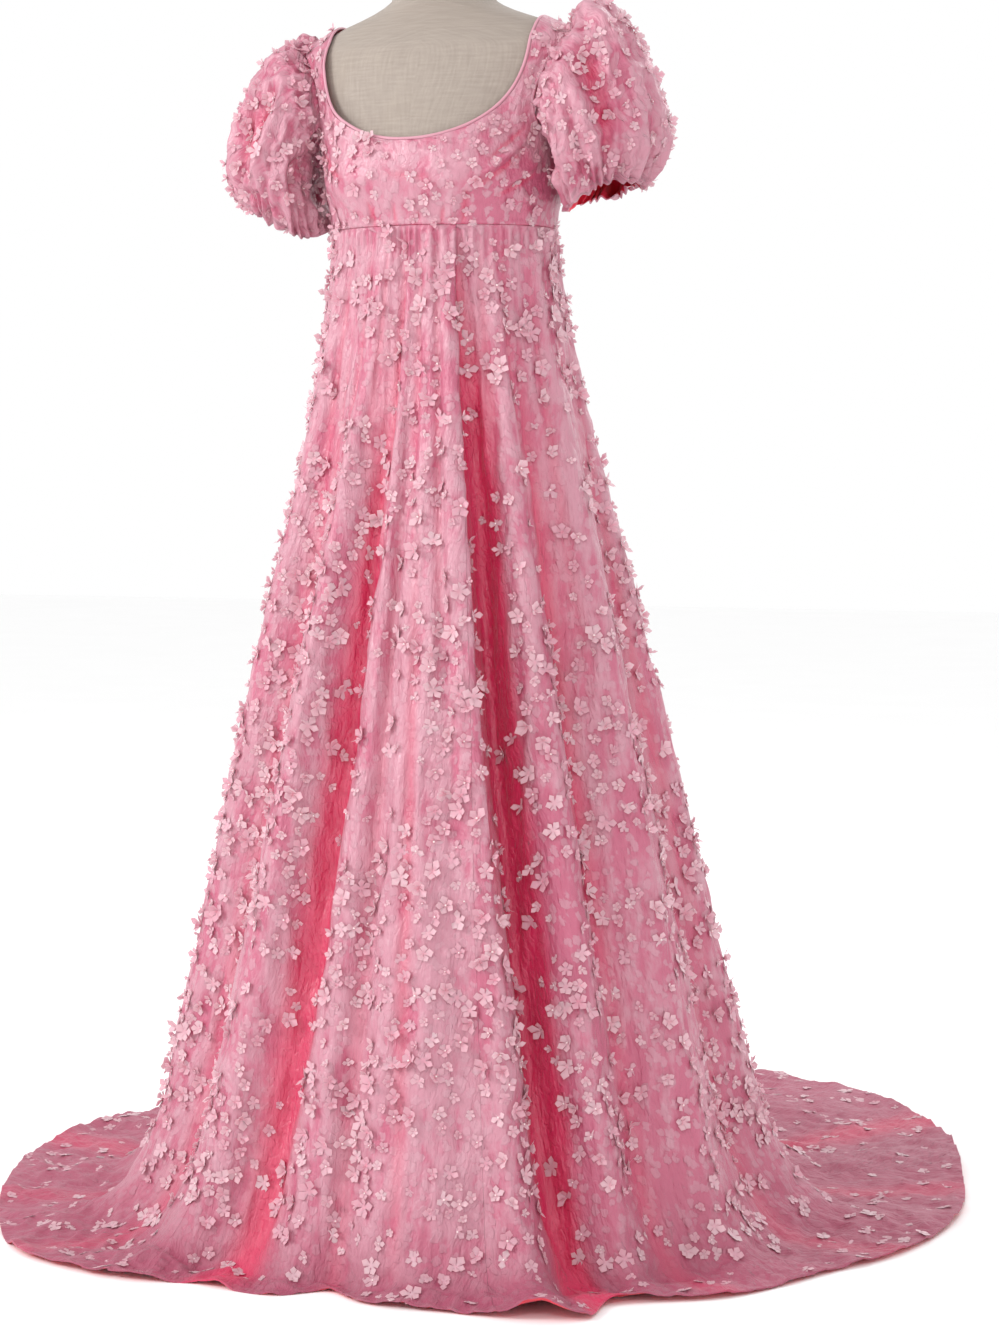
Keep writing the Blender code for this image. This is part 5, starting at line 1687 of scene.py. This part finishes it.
def petal(verts, faces, heart, bearing, length, half_width, tilt, curl, gaps):
    """A petal between two gap points: its outline, and a middle point on each side."""
    along = np.array([math.cos(bearing), math.sin(bearing), 0.0])
    sideways = np.array([-math.sin(bearing), math.cos(bearing), 0.0])
    up = np.array([0.0, 0.0, 1.0])

    def place(reach, side, rise):
        lift = math.sin(tilt) * reach + curl * reach * reach / length
        return along * math.cos(tilt) * reach + sideways * side + up * (lift + rise)

    first = len(verts)
    verts.append(place(PETAL_WIDEST * length, -half_width, PETAL_EDGE_RISE))
    verts.append(place(length, 0.0, 0.0))
    verts.append(place(PETAL_WIDEST * length, half_width, PETAL_EDGE_RISE))
    verts.append(place(PETAL_MIDDLE * length, 0.0, PETAL_MIDDLE_RISE))
    verts.append(place(PETAL_MIDDLE * length, 0.0, PETAL_MIDDLE_RISE - PETAL_THICKNESS))
    heart.extend([0.0, 0.0, 0.0, 0.45, 0.45])
    right, tip, left, top, under = range(first, first + 5)
    before, after = gaps
    for middle in (0, 1):
        outline = (middle, before, right, tip, left, after)
        for k in range(6):
            here, there = outline[k], outline[(k + 1) % 6]
            faces.append((there, here, under) if middle else (here, there, top))


def make_flower_kind(number, with_pearl):
    petals = 5 if number % 6 else 4
    verts = [np.array([0.0, 0.0, HEART_RISE]), np.array([0.0, 0.0, -PETAL_THICKNESS])]
    heart = [1.0, 1.0]
    faces = []
    step = 2.0 * math.pi / petals
    for k in range(petals):
        a = (k - 0.5) * step
        outwards = np.array([math.cos(a), math.sin(a), 0.0])
        verts.append(outwards * FLOWER_HEART * PETAL_LENGTH + [0.0, 0.0, GAP_RISE])
        heart.append(0.8)
    cup = chance.uniform(*CUP)
    for k in range(petals):
        length = PETAL_LENGTH * chance.uniform(0.85, 1.15)
        folded_up = FOLDED_TILT if chance.random() < FOLDED_SHARE else 0.0
        petal(verts, faces, heart, k * step + chance.uniform(-0.10, 0.10), length,
              length * chance.uniform(0.31, 0.41), cup + folded_up + chance.uniform(-0.12, 0.18),
              chance.uniform(-0.25, 0.30), (2 + k, 2 + (k + 1) % petals))
    plain = len(faces)
    if with_pearl:
        ball = bmesh.new()
        bmesh.ops.create_icosphere(ball, subdivisions=1, radius=PEARL_RADIUS)
        first = len(verts)
        verts.extend(np.array(v.co) + [0.0, 0.0, HEART_RISE + PEARL_RADIUS] for v in ball.verts)
        heart.extend([0.0] * len(ball.verts))
        faces.extend(tuple(first + v.index for v in face.verts) for face in ball.faces)
        ball.free()
    mesh = bpy.data.meshes.new(f"flower_kind_{number}")
    mesh.from_pydata([tuple(v) for v in verts], [], faces)
    mesh.attributes.new("heart", "FLOAT", "POINT").data.foreach_set("value", heart)
    beads = [False] * plain + [True] * (len(faces) - plain)
    mesh.attributes.new("bead", "BOOLEAN", "FACE").data.foreach_set("value", beads)
    mesh.shade_smooth()
    mesh.set_sharp_from_angle(angle=math.radians(60.0))
    return bpy.data.objects.new(mesh.name, mesh)


flower_kinds = bpy.data.collections.new("flower kinds")
for number in range(FLOWER_KINDS):
    flower_kinds.objects.link(make_flower_kind(number, number % 3 == 0))

# %% [markdown]
# Geometry Nodes scatter the flowers. Points are spread over the outer faces with a least
# distance between them, each point gets one kind of flower, turned, tilted and scaled at
# random, and the copies are realized and given their materials. A loop could place them too,
# but it would have to keep them apart by itself. The numbers come in through
# named inputs, so a bodice panel can have smaller and flatter flowers than a skirt gore. Three
# attributes of the cloth take part: "ground" is where flowers may sit, "share" how many of them
# do, and "steep" how far they stand up, which is hardly at all on the floor.

# %% Scatter tree
MOST_FLOWERS = 6000.0               # a square metre, before the spacing thins them out
SIZE_SEED = 7
KIND_SEED = 3
TINT_SEED = 9


class Tree:
    """A Geometry Nodes tree, with one method that adds a node and feeds its inputs."""

    def __init__(self, name):
        self.tree = bpy.data.node_groups.new(name, "GeometryNodeTree")
        self.tree.interface.new_socket("Geometry", in_out="OUTPUT", socket_type="NodeSocketGeometry")
        self.inputs = {}

    def declare(self, name, kind):
        made = self.tree.interface.new_socket(name, in_out="INPUT", socket_type="NodeSocket" + kind)
        self.inputs[name] = made.identifier

    def node(self, kind, settings=None, values=None):
        node = self.tree.nodes.new(kind)
        for key, value in (settings or {}).items():
            setattr(node, key, value)
        for key, value in (values or {}).items():
            if isinstance(value, bpy.types.NodeSocket):
                self.tree.links.new(value, node.inputs[key])
            else:
                node.inputs[key].default_value = value
        return node


def make_scatter_tree():
    made = Tree("Sewn flowers")
    for name, kind in (("Cloth", "Geometry"), ("Kinds", "Collection"), ("Spacing", "Float"),
                       ("Smallest", "Float"), ("Largest", "Float"), ("Tilt", "Float"), ("Seed", "Int"),
                       ("Petals", "Material"), ("Pearls", "Material")):
        made.declare(name, kind)
    given = made.node("NodeGroupInput").outputs
    ground = made.node("GeometryNodeInputNamedAttribute", {"data_type": "BOOLEAN"}, {"Name": "ground"})
    share = made.node("GeometryNodeInputNamedAttribute", {"data_type": "FLOAT"}, {"Name": "share"})
    points = made.node("GeometryNodeDistributePointsOnFaces", {"distribute_method": "POISSON"}, {
        "Mesh": given["Cloth"], "Selection": ground.outputs["Attribute"],
        "Distance Min": given["Spacing"], "Density Max": MOST_FLOWERS,
        "Density Factor": share.outputs["Attribute"], "Seed": given["Seed"]})
    kinds = made.node("GeometryNodeCollectionInfo", None, {
        "Collection": given["Kinds"], "Separate Children": True, "Reset Children": True})
    steep = made.node("GeometryNodeInputNamedAttribute", {"data_type": "FLOAT"}, {"Name": "steep"})
    tilt = made.node("ShaderNodeMath", {"operation": "MULTIPLY"}, {
        0: given["Tilt"], 1: steep.outputs["Attribute"]})
    back = made.node("ShaderNodeMath", {"operation": "MULTIPLY"}, {0: tilt.outputs[0], 1: -1.0})
    least = made.node("ShaderNodeCombineXYZ", None, {0: back.outputs[0], 1: back.outputs[0], 2: 0.0})
    most = made.node("ShaderNodeCombineXYZ", None, {
        0: tilt.outputs[0], 1: tilt.outputs[0], 2: 2.0 * math.pi})
    turn = made.node("FunctionNodeRandomValue", {"data_type": "FLOAT_VECTOR"}, {
        0: least.outputs[0], 1: most.outputs[0], "Seed": given["Seed"]})
    turned = made.node("FunctionNodeEulerToRotation", None, {0: turn.outputs[0]})
    turned = made.node("FunctionNodeRotateRotation", {"rotation_space": "LOCAL"}, {
        0: points.outputs["Rotation"], 1: turned.outputs[0]})
    scale = made.node("FunctionNodeRandomValue", {"data_type": "FLOAT"}, {
        2: given["Smallest"], 3: given["Largest"], "Seed": SIZE_SEED})
    height = made.node("ShaderNodeMath", {"operation": "MULTIPLY"}, {
        0: scale.outputs[1], 1: steep.outputs["Attribute"]})
    sizes = made.node("ShaderNodeCombineXYZ", None, {
        0: scale.outputs[1], 1: scale.outputs[1], 2: height.outputs[0]})
    kind = made.node("FunctionNodeRandomValue", {"data_type": "INT"}, {
        4: 0, 5: FLOWER_KINDS - 1, "Seed": KIND_SEED})
    tint = made.node("FunctionNodeRandomValue", {"data_type": "FLOAT"}, {
        2: 0.0, 3: 1.0, "Seed": TINT_SEED})
    copies = made.node("GeometryNodeInstanceOnPoints", None, {
        "Points": points.outputs["Points"], "Instance": kinds.outputs[0], "Pick Instance": True,
        "Instance Index": kind.outputs[2], "Rotation": turned.outputs[0], "Scale": sizes.outputs[0]})
    tinted = made.node("GeometryNodeStoreNamedAttribute", {"data_type": "FLOAT", "domain": "INSTANCE"}, {
        "Geometry": copies.outputs[0], "Name": "tint", "Value": tint.outputs[1]})
    real = made.node("GeometryNodeRealizeInstances", None, {0: tinted.outputs[0]})
    bead = made.node("GeometryNodeInputNamedAttribute", {"data_type": "BOOLEAN"}, {"Name": "bead"})
    petals = made.node("GeometryNodeSetMaterial", None, {
        "Geometry": real.outputs[0], "Material": given["Petals"]})
    beads = made.node("GeometryNodeSetMaterial", None, {
        "Geometry": petals.outputs[0], "Selection": bead.outputs["Attribute"],
        "Material": given["Pearls"]})
    made.node("NodeGroupOutput", None, {0: beads.outputs[0]})
    return made


scatter = make_scatter_tree()
print("nodes in the scatter tree:", len(scatter.tree.nodes))

# %% [markdown]
# On the real gown every flower is tacked on by hand through its middle. Here each shell is the
# ground for one run of the scatter tree, with the numbers set by the inputs' own identifiers.
# What comes out is a plain mesh, and nothing of it reaches under the floor. The flowers of a
# piece could be joined to its cloth, but as a piece of their own they keep their finish apart.

# %% Sewing the flowers on
SCATTER = (
    # node, spacing, smallest, largest, tilt
    ("skirt", 0.0145, 0.50, 1.20, 0.28),
    ("sleeve", 0.0140, 0.50, 1.00, 0.36),
    ("bodice", 0.0135, 0.50, 0.95, 0.06),
)


def sew_flowers(node, cloth, seed):
    kind = next(row for row in SCATTER if node.startswith(row[0]))
    host = bpy.data.objects.new("host", cloth.data)
    bpy.context.scene.collection.objects.link(host)
    modifier = host.modifiers.new("flowers", "NODES")
    modifier.node_group = scatter.tree
    values = {"Kinds": flower_kinds, "Spacing": kind[1], "Smallest": kind[2], "Largest": kind[3],
              "Tilt": kind[4], "Seed": seed, "Petals": petal_cloth, "Pearls": pearl}
    for name, value in values.items():
        modifier[scatter.inputs[name]] = value
    ready = bpy.context.evaluated_depsgraph_get()
    mesh = bpy.data.meshes.new_from_object(host.evaluated_get(ready))
    host.modifiers.remove(modifier)
    bpy.data.objects.remove(host)
    mesh.name = "flowers_" + node
    places = np.zeros(3 * len(mesh.vertices))
    mesh.vertices.foreach_get("co", places)
    places[2::3] = np.maximum(places[2::3], PETAL_THICKNESS)
    mesh.vertices.foreach_set("co", places)
    return new_piece("flowers_" + node, mesh)


flowers = {}
for seed, node in enumerate(sorted(pieces)):
    if node.startswith(("skirt", "sleeve", "bodice")):
        flowers[node] = sew_flowers(node, pieces[node], seed)
        print(flowers[node].name, len(flowers[node].data.polygons), "faces")
for thing in list(flower_kinds.objects):
    bpy.data.objects.remove(thing)

# %% [markdown]
# Every piece is attached to the one body, the solid that it stands for is hidden, and its
# flowers go with it. All of it is one body, since cloth has no joint. The floor is only there for
# the light and isn't part of the gown. It could be left out, but the train would lie on nothing.

# %% Floor and declarations
FLOOR_SIZE = 30.0


def make_floor():
    half = FLOOR_SIZE / 2.0
    mesh = bpy.data.meshes.new("floor")
    mesh.from_pydata([(-half, -half, 0.0), (half, -half, 0.0), (half, half, 0.0), (-half, half, 0.0)],
                     [], [(0, 1, 2, 3)])
    finish = Finish("pale_floor")
    soft = finish.noise(finish.place((3.0, 3.0, 3.0)), detail=2.0)
    colour = finish.mix(soft, rgb(0.96, 0.96, 0.96), rgb(0.99, 0.99, 0.99))
    mesh.materials.append(finish.done(base_color=colour, roughness=0.8 + 0.1 * soft))
    floor = new_piece("floor", mesh)


def declare(node, piece):
    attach(piece, "root")
    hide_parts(node)
    if node in flowers:
        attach(flowers[node], "root")


make_floor()
for node, piece in pieces.items():
    declare(node, piece)
print("pieces:", len(pieces) + len(flowers))
